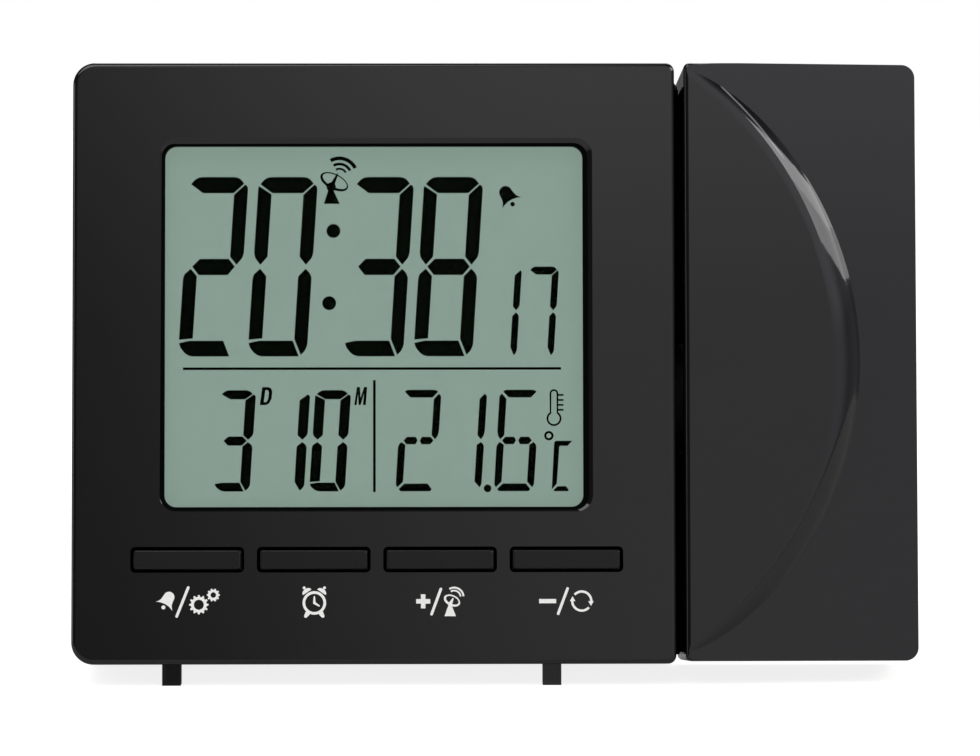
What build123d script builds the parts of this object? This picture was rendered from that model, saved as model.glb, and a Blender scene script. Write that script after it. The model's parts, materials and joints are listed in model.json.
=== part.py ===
from build123d import *
import os
from math import cos, radians, sin, sqrt, tan

# Projection alarm clock: a display case that leans back on two flip-out feet,
# with a projector arm that swivels on its right side. All lengths are in millimetres.
# On the face, u runs right from the case's middle line and v runs up from its bottom edge;
# depth runs back from the face. The floor is the world's XY plane.

# Whole clock
lean = 8.0  # degrees that the face leans back
case_width = 100.1
case_height = 100.0
case_depth = 30.0
arm_gap = 1.55
arm_width = 38.9
arm_depth = 26.0
arm_lift = 0.4  # bottom edge of the arm above that of the case
split_depth = 13.0  # parting plane of case and arm, through the swivel axis
land_cut = 0.12  # flat worn into the rounded rear edge that stands on the floor

# Shells
wall = 2.0
front_wall = 2.2
rear_wall = 2.0
case_free_radius = 3.7
case_arm_radius = 1.4
inner_radius = 0.6
face_edge_radius = 0.8
rear_edge_radius = 1.2
parting_chamfer = 0.25

# Clearances and the overrun of every cut
running_gap = 0.05
fit_gap = 0.1
loose_gap = 0.2
overrun = 1.0

# Display
view_width = 69.4
view_top_margin = 14.0
view_bottom_margin = 26.0
view_radius = 2.0
bezel_depth = 1.5
bezel_slope = 0.7  # depth of the sloped part of the bezel
bezel_left = 0.8  # widths of the slope seen from the front
bezel_right = 1.6
bezel_top = 1.4
bezel_bottom = 0.8
window_lap = 2.0
window_thickness = 1.5
glass_margin = 2.0
glass_thickness = 1.1
contact_ledge = 2.9
backlight_margin = 0.6
backlight_thickness = 2.5
frame_bar = 1.2
zebra_height = 2.4
zebra_inset = 3.5

# Keys
key_names = ("set", "alarm", "plus", "minus")
key_pitch = 20.9
key_shift = 0.5  # row's middle, right of the case's
key_height = 17.3
key_slot_length = 18.8
key_slot_width = 4.25
key_slot_radius = 0.8
key_gap = 0.55
key_proud = 0.3
key_edge_radius = 0.25
key_flange = 0.7
key_flange_thickness = 1.0
key_plunger_radius = 1.5
key_plunger_length = 1.2
stem_radius = 1.75
stem_length = 2.4
stem_room = 0.6
switch_size = 6.0
switch_height = 3.5

# Main board and its screws
board_depth = 9.0
board_thickness = 1.6
board_side_gap = 5.25
board_bottom = 7.5
board_top_gap = 1.0
board_boss_radius = 2.4
board_boss_inset = 3.2
board_boss_rise = 3.5
board_screw_radius = 1.0
board_screw_head_radius = 2.0
board_screw_head = 1.4
board_screw_length = 5.0

# Case screws
case_boss_radius = 2.5
case_boss_embed = 0.2
case_boss_inset = 6.2
case_screw_radius = 1.25
case_screw_head_radius = 2.4
case_screw_head = 1.6
recess_length_share = 1.2  # cross recess, in shares of the head's radius
recess_width_share = 0.3
recess_depth_share = 0.55  # and of the head's height
case_screw_grip = 5.0
case_screw_bite = 6.5
counterbore_wall = 1.0

# Snooze bar on the top
snooze_length = 40.0
snooze_width = 7.0
snooze_depth = 18.5
snooze_radius = 1.5
snooze_proud = 0.3
snooze_edge_radius = 0.25
snooze_flange = 0.8
snooze_flange_thickness = 1.6
snooze_finger_width = 6.0
snooze_switch_height = 3.6
snooze_switch_depth = 4.0
snooze_stem_radius = 1.4
snooze_stem_length = 3.0
snooze_stem_reach = 1.6

# Battery bay, cells and door
cell_radius = 5.25
cell_length = 43.7
cell_nub_radius = 1.9
cell_nub = 0.8
cell_gap = 0.8
cell_room = 0.4
contact_room = 3.0
contact_thickness = 0.5
contact_width = 8.0
contact_spring_radius = 2.6
contact_spring_tip_radius = 1.6
bay_u = -5.0
bay_rise = 2.0  # above the middle of the case
bay_floor = 1.2
bay_rim = 1.5
door_thickness = 1.8
door_lap = 1.75
door_gap = 0.2
door_radius = 1.5
door_rib_count = 5
door_rib_pitch = 2.2
door_rib_width = 0.8
door_rib_length = 10.0
door_rib_rise = 0.4

# Aerial
rod_radius = 4.0
rod_length = 50.0
rod_drop = 14.5
rod_depth = 21.5
coil_radius = 5.8
coil_length = 24.0
saddle_u = 20.0
saddle_width = 2.5
saddle_rim = 1.5
saddle_mouth = 2.0

# Buzzer, power inlet and temperature sensor
buzzer_inset = 21.75
buzzer_middle = 20.0
buzzer_radius = 10.0
buzzer_thickness = 4.5
buzzer_ring_wall = 1.2
buzzer_ring_height = 3.0
sound_hole_radius = 0.8
sound_hole_circle = 4.5
sound_hole_count = 6
jack_inset = 17.75
jack_middle = 14.0
jack_width = 9.0
jack_height = 10.5
jack_length = 13.0
jack_collar_radius = 3.9
jack_bore_radius = 2.75
jack_bore_length = 9.5
jack_pin_radius = 0.65
jack_pin_setback = 1.5
sensor_u = -20.0
sensor_middle = 11.5
sensor_radius = 1.3
sensor_length = 3.4

# Flip-out feet
foot_left_inset = 16.45
foot_right_inset = 20.55
foot_width = 3.1
foot_thickness = 2.6
foot_pivot_depth = 4.3
foot_pivot_height = 1.5
foot_pin_radius = 0.8
foot_pin_length = 1.1
foot_rim = 0.45
foot_lip = 0.7
foot_core = 0.8
pocket_wall = 1.5
pocket_gap = 0.3

# Swivel hub
swivel_height = 44.5
hub_neck_radius = 6.0
hub_collar_radius = 9.25
hub_flange_radius = 8.0
hub_flange = 1.7
hub_bore_radius = 1.5

# Pad on the case's side, which fills most of the gap to the arm
pad_clearance = 0.35
pad_front = 4.0
pad_slope = 8.0  # length of its sloped front
pad_back_margin = 2.0
pad_top_margin = 2.7
pad_bottom_margin = 1.5

# Projector arm
arm_wall = 2.0
arm_free_radius = 2.2
arm_hub_radius = 1.0
arm_rear_radius = 0.8
facet_angle = 5.0  # degrees that the outer part of the arm's front falls away
platform_setback = 33.6  # its middle, left of the arm
platform_rise = 0.4  # and above the middle of the case
platform_radius = 60.5
platform_draft = 44.0  # degrees
platform_edge_radius = 5.0  # of the shoulder between the two parts of the front
arm_boss_radius = 2.4
arm_boss_inset = 4.6
arm_boss_rise = 5.0
arm_screw_bite = 5.0

# Projector
optic_depth = 16.0
tube_radius = 7.9
tube_bore_radius = 6.05
tube_drop = 14.1
tube_foot_width = 10.0
tube_foot_length = 12.0
led_board_rise = 1.5  # above the swivel axis
led_board_thickness = 1.6
led_board_width = 20.0
led_board_span = 14.0
led_radius = 2.5
led_length = 5.0
condenser_rise = 8.4
condenser_edge = 2.0
condenser_crown = 2.0
slide_rise = 7.0
slide_thickness = 1.5
barrel_rise = 9.0
barrel_drop = 4.0
barrel_radius = 6.0
barrel_bore_radius = 4.6
lens_radius = 5.2
lens_edge = 1.4
lens_crown = 1.3
lens_sink = 0.6
lens_opening_radius = 6.6
wheel_radius = 10.8
wheel_thickness = 4.0
wheel_slot_gap = 0.4
wheel_notch_radius = 0.45
wheel_notch_count = 40

# Wires through the hub
wire_radius = 1.2
wire_landing = 3.0
header_length = 6.0
header_height = 7.0
header_setback = 1.5

os.makedirs("parts", exist_ok=True)

# The clock's own planes, leaning with the face
sin_lean = sin(radians(lean))
cos_lean = cos(radians(lean))
front_reach = face_edge_radius * (sin_lean + cos_lean - 1)
back_reach = (
    (case_height - rear_edge_radius) * sin_lean
    + (case_depth - rear_edge_radius) * cos_lean
    + rear_edge_radius
)
corner = (
    -(arm_gap + arm_width) / 2,
    -(front_reach + back_reach) / 2,
    (case_depth - rear_edge_radius) * sin_lean + rear_edge_radius * (1 - cos_lean) - land_cut,
)
face_plane = Plane(origin=corner, x_dir=(1, 0, 0), z_dir=(0, -cos_lean, sin_lean))
side_plane = Plane(origin=corner, x_dir=(0, cos_lean, -sin_lean), z_dir=(1, 0, 0))
top_plane = Plane(origin=corner, x_dir=(1, 0, 0), z_dir=(0, sin_lean, cos_lean))
outward = Axis(face_plane.origin, face_plane.z_dir)
upward = Axis(top_plane.origin, top_plane.z_dir)

# Places that several pieces share
inner_face = case_width / 2 - wall
view_height = case_height - view_top_margin - view_bottom_margin
view_middle = view_bottom_margin + view_height / 2
bezel_width = bezel_left + view_width + bezel_right
bezel_height = bezel_bottom + view_height + bezel_top
bezel_middle = ((bezel_right - bezel_left) / 2, view_middle + (bezel_top - bezel_bottom) / 2)
bay_middle = case_height / 2 + bay_rise
rod_middle = case_height - rod_drop
buzzer_u = buzzer_inset - case_width / 2
jack_u = case_width / 2 - jack_inset
foot_places = (foot_left_inset - case_width / 2, case_width / 2 - foot_right_inset)
case_boss_u = inner_face + case_boss_embed - case_boss_radius
case_boss_places = [
    (side * case_boss_u, height)
    for side in (-1, 1)
    for height in (case_boss_inset, case_height - case_boss_inset)
]
head_seat = split_depth + case_screw_grip
board_back = board_depth + board_thickness
board_edge = inner_face - board_side_gap
board_top = case_height - wall - board_top_gap
board_boss_places = [
    (side * (board_edge - board_boss_inset), height)
    for side in (-1, 1)
    for height in (board_bottom + board_boss_rise, board_top - board_boss_rise)
]
key_places = {
    name: key_shift + key_pitch * (index - (len(key_names) - 1) / 2)
    for index, name in enumerate(key_names)
}
key_flange_depth = front_wall + loose_gap
stem_front = key_flange_depth + key_flange_thickness + key_plunger_length
switch_front = board_depth - switch_height
glass_front = bezel_depth + window_thickness + loose_gap
glass_back = glass_front + 2 * glass_thickness
glass_width = view_width + 2 * glass_margin
glass_top = view_middle + view_height / 2 + glass_margin
rear_glass_bottom = view_middle - view_height / 2 - glass_margin / 2
front_glass_bottom = rear_glass_bottom - contact_ledge
pocket_width = foot_width + 2 * pocket_gap
pocket_front = foot_pivot_depth - foot_thickness / 2 - pocket_gap
pocket_roof = foot_pivot_height + foot_thickness / 2 + pocket_gap
pivot_rise = corner[2] + foot_pivot_height * cos_lean - foot_pivot_depth * sin_lean
foot_reach = pivot_rise / cos_lean
pocket_back = foot_pivot_depth + foot_reach + foot_thickness * tan(radians(lean)) + pocket_gap
cell_pitch = 2 * cell_radius + cell_gap
bay_width = cell_length + cell_nub + 2 * contact_room
bay_height = cell_pitch + 2 * cell_radius + 2 * cell_room
bay_back = case_depth - door_thickness
bay_front = bay_back - 2 * cell_radius - 2 * cell_room
door_width = bay_width + 2 * door_lap
door_height = bay_height + 2 * door_lap
arm_left = case_width / 2 + arm_gap
arm_right = arm_left + arm_width
arm_middle = (arm_left + arm_right) / 2
pad_root = case_width / 2 - wall / 2
pad_face = arm_left - pad_clearance
pad_back = arm_depth - pad_back_margin
platform_u = arm_left - platform_setback
platform_middle = case_height / 2 + platform_rise
optic_u = arm_middle
led_board_bottom = swivel_height + led_board_rise
tube_bottom = led_board_bottom + led_board_thickness
tube_top = case_height - tube_drop
condenser_bottom = tube_bottom + condenser_rise
slide_bottom = condenser_bottom + slide_rise
barrel_bottom = slide_bottom + barrel_rise
barrel_top = case_height - barrel_drop
arm_height = case_height - arm_lift
facet_slope = tan(radians(facet_angle))
arm_back = arm_depth - arm_wall
arm_boss_places = [
    (u, height)
    for u in (arm_left + arm_boss_inset, arm_right - arm_boss_inset)
    for height in (arm_lift + arm_boss_rise, case_height - arm_boss_rise)
]
wheel_bottom = tube_top + fit_gap


def behind(depth):
    """Plane parallel to the face, at a depth behind it; it looks forward."""
    return face_plane.offset(-depth)


def across(u):
    """Plane square to u, with depth as its x and v as its y."""
    return side_plane.offset(u)


def above(height):
    """Plane square to v, with u as its x and depth as its y."""
    return top_plane.offset(height)


def facet_depth(u):
    """Depth of the arm's falling front at a place across it."""
    return (u - arm_left) * facet_slope


def keep(piece, name):
    """Label a finished piece and write it to its own file."""
    piece.part.label = name
    export_step(piece.part, f"parts/{name}.step")


def case_outline(inset, free_radius, arm_radius):
    """Draw the case's outline on a plane parallel to the face, drawn in by inset."""
    with Locations((0, case_height / 2)):
        Rectangle(case_width - 2 * inset, case_height - 2 * inset)
    fillet(vertices().group_by(Axis.X)[0], free_radius)
    fillet(vertices().group_by(Axis.X)[-1], arm_radius)


def arm_outline(inset, hub_radius, free_radius):
    """Draw the arm's outline on a plane parallel to the face, drawn in by inset."""
    with Locations((arm_middle, arm_lift + arm_height / 2)):
        Rectangle(arm_width - 2 * inset, arm_height - 2 * inset)
    fillet(vertices().group_by(Axis.X)[0], hub_radius)
    fillet(vertices().group_by(Axis.X)[-1], free_radius)


def make_pad(*outline):
    """Make one half of the pad beside the arm, with the room of the hub's collar cut out."""
    with BuildPart() as pad:
        with BuildSketch(above(pad_bottom_margin)):
            with BuildLine():
                Polyline(*outline, close=True)
            make_face()
        extrude(amount=case_height - pad_bottom_margin - pad_top_margin)
        with BuildSketch(across(case_width / 2)):
            with Locations((split_depth, swivel_height)):
                Circle(hub_collar_radius + loose_gap)
        extrude(amount=arm_gap, mode=Mode.SUBTRACT)
    return pad.part


front_pad = make_pad(
    (pad_root, pad_front),
    (case_width / 2, pad_front),
    (pad_face, pad_front + pad_slope),
    (pad_face, split_depth),
    (pad_root, split_depth),
)
rear_pad = make_pad(
    (pad_root, split_depth), (pad_face, split_depth), (pad_face, pad_back), (pad_root, pad_back)
)

# Front cover: face, window opening, key slots, bosses and foot pockets
with BuildPart() as front_cover:
    with BuildSketch(face_plane):
        case_outline(0, case_free_radius, case_arm_radius)
    extrude(amount=-split_depth)
    chamfer(faces().sort_by(outward)[0].edges(), parting_chamfer)
    fillet(faces().sort_by(outward)[-1].edges(), face_edge_radius)
    with BuildSketch(behind(front_wall)):
        case_outline(wall, inner_radius, inner_radius)
    extrude(amount=front_wall - split_depth, mode=Mode.SUBTRACT)
    with BuildSketch(behind(front_wall)):
        with Locations(*board_boss_places):
            Circle(board_boss_radius)
    extrude(amount=front_wall - board_depth)
    with BuildSketch(behind(front_wall)):
        with Locations(*case_boss_places):
            Circle(case_boss_radius)
    extrude(amount=front_wall - split_depth)
    with BuildSketch(behind(front_wall)):
        with Locations(*[(place, 0) for place in foot_places]):
            Rectangle(
                pocket_width + 2 * pocket_wall,
                pocket_roof + pocket_wall,
                align=(Align.CENTER, Align.MIN),
            )
    extrude(amount=front_wall - pocket_back - pocket_wall)
    # Sloped bezel, then the opening and the seat of the window behind it
    with BuildSketch(face_plane):
        with Locations(bezel_middle):
            RectangleRounded(bezel_width, bezel_height, view_radius + bezel_left)
    with BuildSketch(behind(bezel_slope)):
        with Locations((0, view_middle)):
            RectangleRounded(view_width, view_height, view_radius)
    loft(mode=Mode.SUBTRACT)
    with BuildSketch(behind(bezel_slope)):
        with Locations((0, view_middle)):
            RectangleRounded(view_width, view_height, view_radius)
    extrude(amount=bezel_slope - bezel_depth, mode=Mode.SUBTRACT)
    with BuildSketch(behind(bezel_depth)):
        with Locations((0, view_middle)):
            Rectangle(
                view_width + 2 * (window_lap + fit_gap), view_height + 2 * (window_lap + fit_gap)
            )
    extrude(amount=bezel_depth - front_wall, mode=Mode.SUBTRACT)
    # Key slots
    with BuildSketch(face_plane):
        with Locations(*[(place, key_height) for place in key_places.values()]):
            RectangleRounded(key_slot_length, key_slot_width, key_slot_radius)
    extrude(amount=-front_wall, mode=Mode.SUBTRACT)
    # Pilot holes of the screws
    with BuildSketch(behind(board_depth)):
        with Locations(*board_boss_places):
            Circle(board_screw_radius + running_gap)
    extrude(amount=board_screw_length, mode=Mode.SUBTRACT)
    with BuildSketch(behind(split_depth)):
        with Locations(*case_boss_places):
            Circle(case_screw_radius + running_gap)
    extrude(amount=case_screw_bite + loose_gap, mode=Mode.SUBTRACT)
    # Foot pockets and the holes of their pins
    with BuildSketch(behind(pocket_front)):
        with Locations(*[(place, -overrun) for place in foot_places]):
            Rectangle(pocket_width, pocket_roof + overrun, align=(Align.CENTER, Align.MIN))
    extrude(amount=pocket_front - pocket_back, mode=Mode.SUBTRACT)
    for place in foot_places:
        with BuildSketch(across(place)):
            with Locations((foot_pivot_depth, foot_pivot_height)):
                Circle(foot_pin_radius + running_gap)
        extrude(amount=pocket_width / 2 + foot_pin_length + fit_gap, both=True, mode=Mode.SUBTRACT)
    # Pad beside the arm, and the front half of the swivel's bearing
    add(front_pad)
    with BuildSketch(across(inner_face - overrun)):
        with Locations((split_depth, swivel_height)):
            Circle(hub_neck_radius + running_gap)
    extrude(amount=wall + 2 * overrun, mode=Mode.SUBTRACT)
keep(front_cover, "front_cover")

# Rear cover: battery bay, counterbored bosses, aerial saddles and openings
with BuildPart() as rear_cover:
    with BuildSketch(behind(split_depth)):
        case_outline(0, case_free_radius, case_arm_radius)
    extrude(amount=split_depth - case_depth)
    chamfer(faces().sort_by(outward)[-1].edges(), parting_chamfer)
    fillet(faces().sort_by(outward)[0].edges(), rear_edge_radius)
    with BuildSketch(behind(split_depth)):
        case_outline(wall, inner_radius, inner_radius)
    extrude(amount=split_depth - case_depth + rear_wall, mode=Mode.SUBTRACT)
    with BuildSketch(behind(bay_front - bay_floor)):
        with Locations((bay_u, bay_middle)):
            Rectangle(door_width + 2 * (door_gap + bay_rim), door_height + 2 * (door_gap + bay_rim))
    extrude(amount=bay_front - bay_floor - case_depth)
    with BuildSketch(behind(split_depth)):
        with Locations(*case_boss_places):
            Circle(case_screw_head_radius + fit_gap + counterbore_wall)
    extrude(amount=split_depth - case_depth + rear_wall)
    with BuildSketch(behind(case_depth - rear_wall - buzzer_ring_height)):
        with Locations((buzzer_u, buzzer_middle)):
            Circle(buzzer_radius + fit_gap + buzzer_ring_wall)
            Circle(buzzer_radius + fit_gap, mode=Mode.SUBTRACT)
    extrude(amount=-buzzer_ring_height)
    for side in (-1, 1):
        with BuildSketch(across(side * saddle_u)):
            with Locations((rod_depth - saddle_mouth, rod_middle)):
                Rectangle(
                    case_depth - rear_wall - rod_depth + saddle_mouth,
                    2 * (rod_radius + saddle_rim),
                    align=(Align.MIN, Align.CENTER),
                )
            with Locations((rod_depth, rod_middle)):
                Circle(rod_radius + running_gap, mode=Mode.SUBTRACT)
        extrude(amount=saddle_width / 2, both=True)
    # Door recess and battery bay
    with BuildSketch(behind(bay_back)):
        with Locations((bay_u, bay_middle)):
            RectangleRounded(
                door_width + 2 * door_gap, door_height + 2 * door_gap, door_radius + door_gap
            )
    extrude(amount=-door_thickness - overrun, mode=Mode.SUBTRACT)
    with BuildSketch(behind(bay_front)):
        with Locations((bay_u, bay_middle)):
            Rectangle(bay_width, bay_height)
    extrude(amount=bay_front - bay_back, mode=Mode.SUBTRACT)
    # Counterbored screw holes
    with BuildSketch(behind(split_depth)):
        with Locations(*case_boss_places):
            Circle(case_screw_radius + fit_gap)
    extrude(amount=-case_screw_grip, mode=Mode.SUBTRACT)
    with BuildSketch(behind(head_seat)):
        with Locations(*case_boss_places):
            Circle(case_screw_head_radius + fit_gap)
    extrude(amount=head_seat - case_depth, mode=Mode.SUBTRACT)
    # Sound holes and the power inlet's hole
    with BuildSketch(behind(case_depth - rear_wall)):
        with Locations((buzzer_u, buzzer_middle)):
            Circle(sound_hole_radius)
            with PolarLocations(sound_hole_circle, sound_hole_count):
                Circle(sound_hole_radius)
        with Locations((jack_u, jack_middle)):
            Circle(jack_collar_radius + fit_gap)
    extrude(amount=-rear_wall, mode=Mode.SUBTRACT)
    # Snooze bar's slot in the top wall
    with BuildSketch(above(case_height - wall - overrun)):
        with Locations((0, snooze_depth)):
            RectangleRounded(
                snooze_length + 2 * loose_gap, snooze_width + 2 * loose_gap, snooze_radius + loose_gap
            )
    extrude(amount=wall + 2 * overrun, mode=Mode.SUBTRACT)
    # Pad beside the arm, and the rear half of the swivel's bearing
    add(rear_pad)
    with BuildSketch(across(inner_face - overrun)):
        with Locations((split_depth, swivel_height)):
            Circle(hub_neck_radius + running_gap)
    extrude(amount=wall + 2 * overrun, mode=Mode.SUBTRACT)
    # Flat on which the rear edge stands
    split(bisect_by=Plane.XY, keep=Keep.TOP)
keep(rear_cover, "rear_cover")

# Clear window seated behind the bezel
with BuildPart() as display_window:
    with BuildSketch(behind(bezel_depth)):
        with Locations((0, view_middle)):
            Rectangle(view_width + 2 * window_lap, view_height + 2 * window_lap)
    extrude(amount=-window_thickness)
keep(display_window, "display_window")


def make_glass(name, bottom, depth):
    """Make one glass plate of the display, from its bottom edge up to the shared top edge."""
    with BuildPart() as glass:
        with BuildSketch(behind(depth)):
            with Locations((0, bottom)):
                Rectangle(glass_width, glass_top - bottom, align=(Align.CENTER, Align.MIN))
        extrude(amount=-glass_thickness)
    keep(glass, name)


make_glass("lcd_front_glass", front_glass_bottom, glass_front)
make_glass("lcd_rear_glass", rear_glass_bottom, glass_front + glass_thickness)

# Backlight plate behind the glasses
backlight_width = glass_width - 2 * backlight_margin
backlight_height = glass_top - rear_glass_bottom - 2 * backlight_margin
backlight_middle = (glass_top + rear_glass_bottom) / 2
with BuildPart() as backlight_plate:
    with BuildSketch(behind(glass_back)):
        with Locations((0, backlight_middle)):
            Rectangle(backlight_width, backlight_height)
    extrude(amount=-backlight_thickness)
keep(backlight_plate, "backlight_plate")

# Frame that holds the glasses and the backlight on the board, with a slot for the contact strip
zebra_middle = (front_glass_bottom + rear_glass_bottom) / 2
zebra_length = glass_width - 2 * zebra_inset
with BuildPart() as lcd_frame:
    with BuildSketch(behind(glass_front)):
        with Locations((0, front_glass_bottom - loose_gap - frame_bar)):
            Rectangle(
                glass_width + 2 * (loose_gap + frame_bar),
                glass_top - front_glass_bottom + 2 * (loose_gap + frame_bar),
                align=(Align.CENTER, Align.MIN),
            )
    extrude(amount=glass_front - board_depth)
    with BuildSketch(behind(glass_front)):
        with Locations((0, front_glass_bottom - loose_gap)):
            Rectangle(
                glass_width + 2 * loose_gap,
                glass_top - front_glass_bottom + 2 * loose_gap,
                align=(Align.CENTER, Align.MIN),
            )
    extrude(amount=-2 * glass_thickness, mode=Mode.SUBTRACT)
    with BuildSketch(behind(glass_back)):
        with Locations((0, backlight_middle)):
            Rectangle(backlight_width + 2 * fit_gap, backlight_height + 2 * fit_gap)
        with Locations((0, zebra_middle)):
            Rectangle(zebra_length + 2 * fit_gap, zebra_height + 2 * fit_gap)
    extrude(amount=glass_back - board_depth, mode=Mode.SUBTRACT)
keep(lcd_frame, "lcd_frame")

# Rubber contact strip between the front glass's ledge and the board
with BuildPart() as zebra_strip:
    with BuildSketch(behind(glass_front + glass_thickness)):
        with Locations((0, zebra_middle)):
            Rectangle(zebra_length, zebra_height)
    extrude(amount=glass_front + glass_thickness - board_depth)
keep(zebra_strip, "zebra_strip")

# Main circuit board
with BuildPart() as main_board:
    with BuildSketch(behind(board_depth)):
        with Locations((0, board_bottom)):
            Rectangle(2 * board_edge, board_top - board_bottom, align=(Align.CENTER, Align.MIN))
        with Locations(*board_boss_places):
            Circle(board_screw_radius + fit_gap, mode=Mode.SUBTRACT)
    extrude(amount=-board_thickness)
keep(main_board, "main_board")

# Key switches, one behind each key, with the holes that their stems run in
with BuildPart() as key_switches:
    with BuildSketch(behind(switch_front)):
        with Locations(*[(place, key_height) for place in key_places.values()]):
            Rectangle(switch_size, switch_size)
    extrude(amount=-switch_height)
    with BuildSketch(behind(switch_front)):
        with Locations(*[(place, key_height) for place in key_places.values()]):
            Circle(stem_radius + running_gap)
    extrude(amount=switch_front - stem_front - stem_length - stem_room, mode=Mode.SUBTRACT)
keep(key_switches, "key_switches")


def make_key(name, place):
    """Make one key, with its flange behind the face and its plunger, and the stem it presses."""
    with BuildPart() as key:
        with BuildSketch(behind(-key_proud)):
            with Locations((place, key_height)):
                RectangleRounded(
                    key_slot_length - 2 * key_gap, key_slot_width - 2 * key_gap, key_slot_radius - key_gap / 2
                )
        extrude(amount=-key_proud - key_flange_depth)
        fillet(faces().sort_by(outward)[-1].edges(), key_edge_radius)
        with BuildSketch(behind(key_flange_depth)):
            with Locations((place, key_height)):
                Rectangle(key_slot_length + 2 * key_flange, key_slot_width + 2 * key_flange)
        extrude(amount=-key_flange_thickness)
        with BuildSketch(behind(key_flange_depth + key_flange_thickness)):
            with Locations((place, key_height)):
                Circle(key_plunger_radius)
        extrude(amount=-key_plunger_length)
    keep(key, f"{name}_button")
    with BuildPart() as stem:
        with BuildSketch(behind(stem_front)):
            with Locations((place, key_height)):
                Circle(stem_radius)
        extrude(amount=-stem_length)
    keep(stem, f"{name}_stem")


for key_name, key_place in key_places.items():
    make_key(key_name, key_place)

# Snooze bar: cap, retaining flange and the finger that reaches forward over the board's edge
flange_top = case_height - wall - loose_gap
flange_bottom = flange_top - snooze_flange_thickness
snooze_switch_middle = board_back + snooze_switch_depth / 2
with BuildPart() as snooze_bar:
    with BuildSketch(above(flange_bottom)):
        with Locations((0, snooze_depth)):
            Rectangle(snooze_length + 2 * snooze_flange, snooze_width + 2 * snooze_flange)
        with Locations((0, snooze_switch_middle - snooze_stem_radius)):
            Rectangle(
                snooze_finger_width,
                snooze_depth - snooze_switch_middle + snooze_stem_radius,
                align=(Align.CENTER, Align.MIN),
            )
    extrude(amount=snooze_flange_thickness)
    with BuildSketch(above(flange_top)):
        with Locations((0, snooze_depth)):
            RectangleRounded(snooze_length, snooze_width, snooze_radius)
    extrude(amount=case_height + snooze_proud - flange_top)
    fillet(faces().sort_by(upward)[-1].edges(), snooze_edge_radius)
keep(snooze_bar, "snooze_bar")

with BuildPart() as snooze_stem:
    with BuildSketch(above(flange_bottom)):
        with Locations((0, snooze_switch_middle)):
            Circle(snooze_stem_radius)
    extrude(amount=-snooze_stem_length)
keep(snooze_stem, "snooze_stem")

snooze_switch_top = flange_bottom - snooze_stem_reach
with BuildPart() as snooze_switch:
    with BuildSketch(above(snooze_switch_top)):
        with Locations((0, snooze_switch_middle)):
            Rectangle(switch_size, snooze_switch_depth)
    extrude(amount=-snooze_switch_height)
    with BuildSketch(above(snooze_switch_top)):
        with Locations((0, snooze_switch_middle)):
            Circle(snooze_stem_radius + running_gap)
    extrude(amount=snooze_stem_reach - snooze_stem_length - stem_room - loose_gap, mode=Mode.SUBTRACT)
keep(snooze_switch, "snooze_switch")

# Battery door with grip ribs
with BuildPart() as battery_door:
    with BuildSketch(behind(bay_back)):
        with Locations((bay_u, bay_middle)):
            RectangleRounded(door_width, door_height, door_radius)
    extrude(amount=-door_thickness)
    with BuildSketch(behind(case_depth)):
        with Locations((bay_u, bay_middle)):
            with GridLocations(door_rib_pitch, 0, door_rib_count, 1):
                RectangleRounded(door_rib_width, door_rib_length, door_rib_width / 3)
    extrude(amount=-door_rib_rise)
keep(battery_door, "battery_door")


def make_cell(name, height, heading):
    """Make one cell lying along u, its nub pointing to heading (1 right, -1 left)."""
    middle_u = bay_u - heading * cell_nub / 2
    middle_depth = bay_front + cell_room + cell_radius
    with BuildPart() as cell:
        with BuildSketch(across(middle_u)):
            with Locations((middle_depth, height)):
                Circle(cell_radius)
        extrude(amount=cell_length / 2, both=True)
        with BuildSketch(across(middle_u + heading * cell_length / 2)):
            with Locations((middle_depth, height)):
                Circle(cell_nub_radius)
        extrude(amount=heading * cell_nub)
    keep(cell, name)


cell_rows = {"battery_upper": (1, 1), "battery_lower": (-1, -1)}
for cell_name, (row, heading) in cell_rows.items():
    make_cell(cell_name, bay_middle + row * cell_pitch / 2, heading)

# Battery contacts: a plate with a pressing cone at each end of each cell
with BuildPart() as battery_contacts:
    for row in (-1, 1):
        for end in (-1, 1):
            contact_place = (bay_front + cell_room + cell_radius, bay_middle + row * cell_pitch / 2)
            contact_wall = bay_u + end * bay_width / 2
            contact_face = contact_wall - end * contact_thickness
            contact_tip = contact_wall - end * (contact_room - running_gap)
            with BuildSketch(across(contact_wall)):
                with Locations(contact_place):
                    Rectangle(contact_width, contact_width)
            extrude(amount=-end * contact_thickness)
            with BuildSketch(across(contact_face)):
                with Locations(contact_place):
                    Circle(contact_spring_radius)
            with BuildSketch(across(contact_tip)):
                with Locations(contact_place):
                    Circle(contact_spring_tip_radius)
            loft()
keep(battery_contacts, "battery_contacts")

# Ferrite aerial rod in its saddles, and the coil wound on it
with BuildPart() as antenna_rod:
    with BuildSketch(across(0)):
        with Locations((rod_depth, rod_middle)):
            Circle(rod_radius)
    extrude(amount=rod_length / 2, both=True)
keep(antenna_rod, "antenna_rod")

with BuildPart() as antenna_coil:
    with BuildSketch(across(0)):
        with Locations((rod_depth, rod_middle)):
            Circle(coil_radius)
            Circle(rod_radius + running_gap, mode=Mode.SUBTRACT)
    extrude(amount=coil_length / 2, both=True)
keep(antenna_coil, "antenna_coil")

# Buzzer behind the sound holes
with BuildPart() as buzzer:
    with BuildSketch(behind(case_depth - rear_wall)):
        with Locations((buzzer_u, buzzer_middle)):
            Circle(buzzer_radius)
    extrude(amount=buzzer_thickness)
keep(buzzer, "buzzer")

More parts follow.
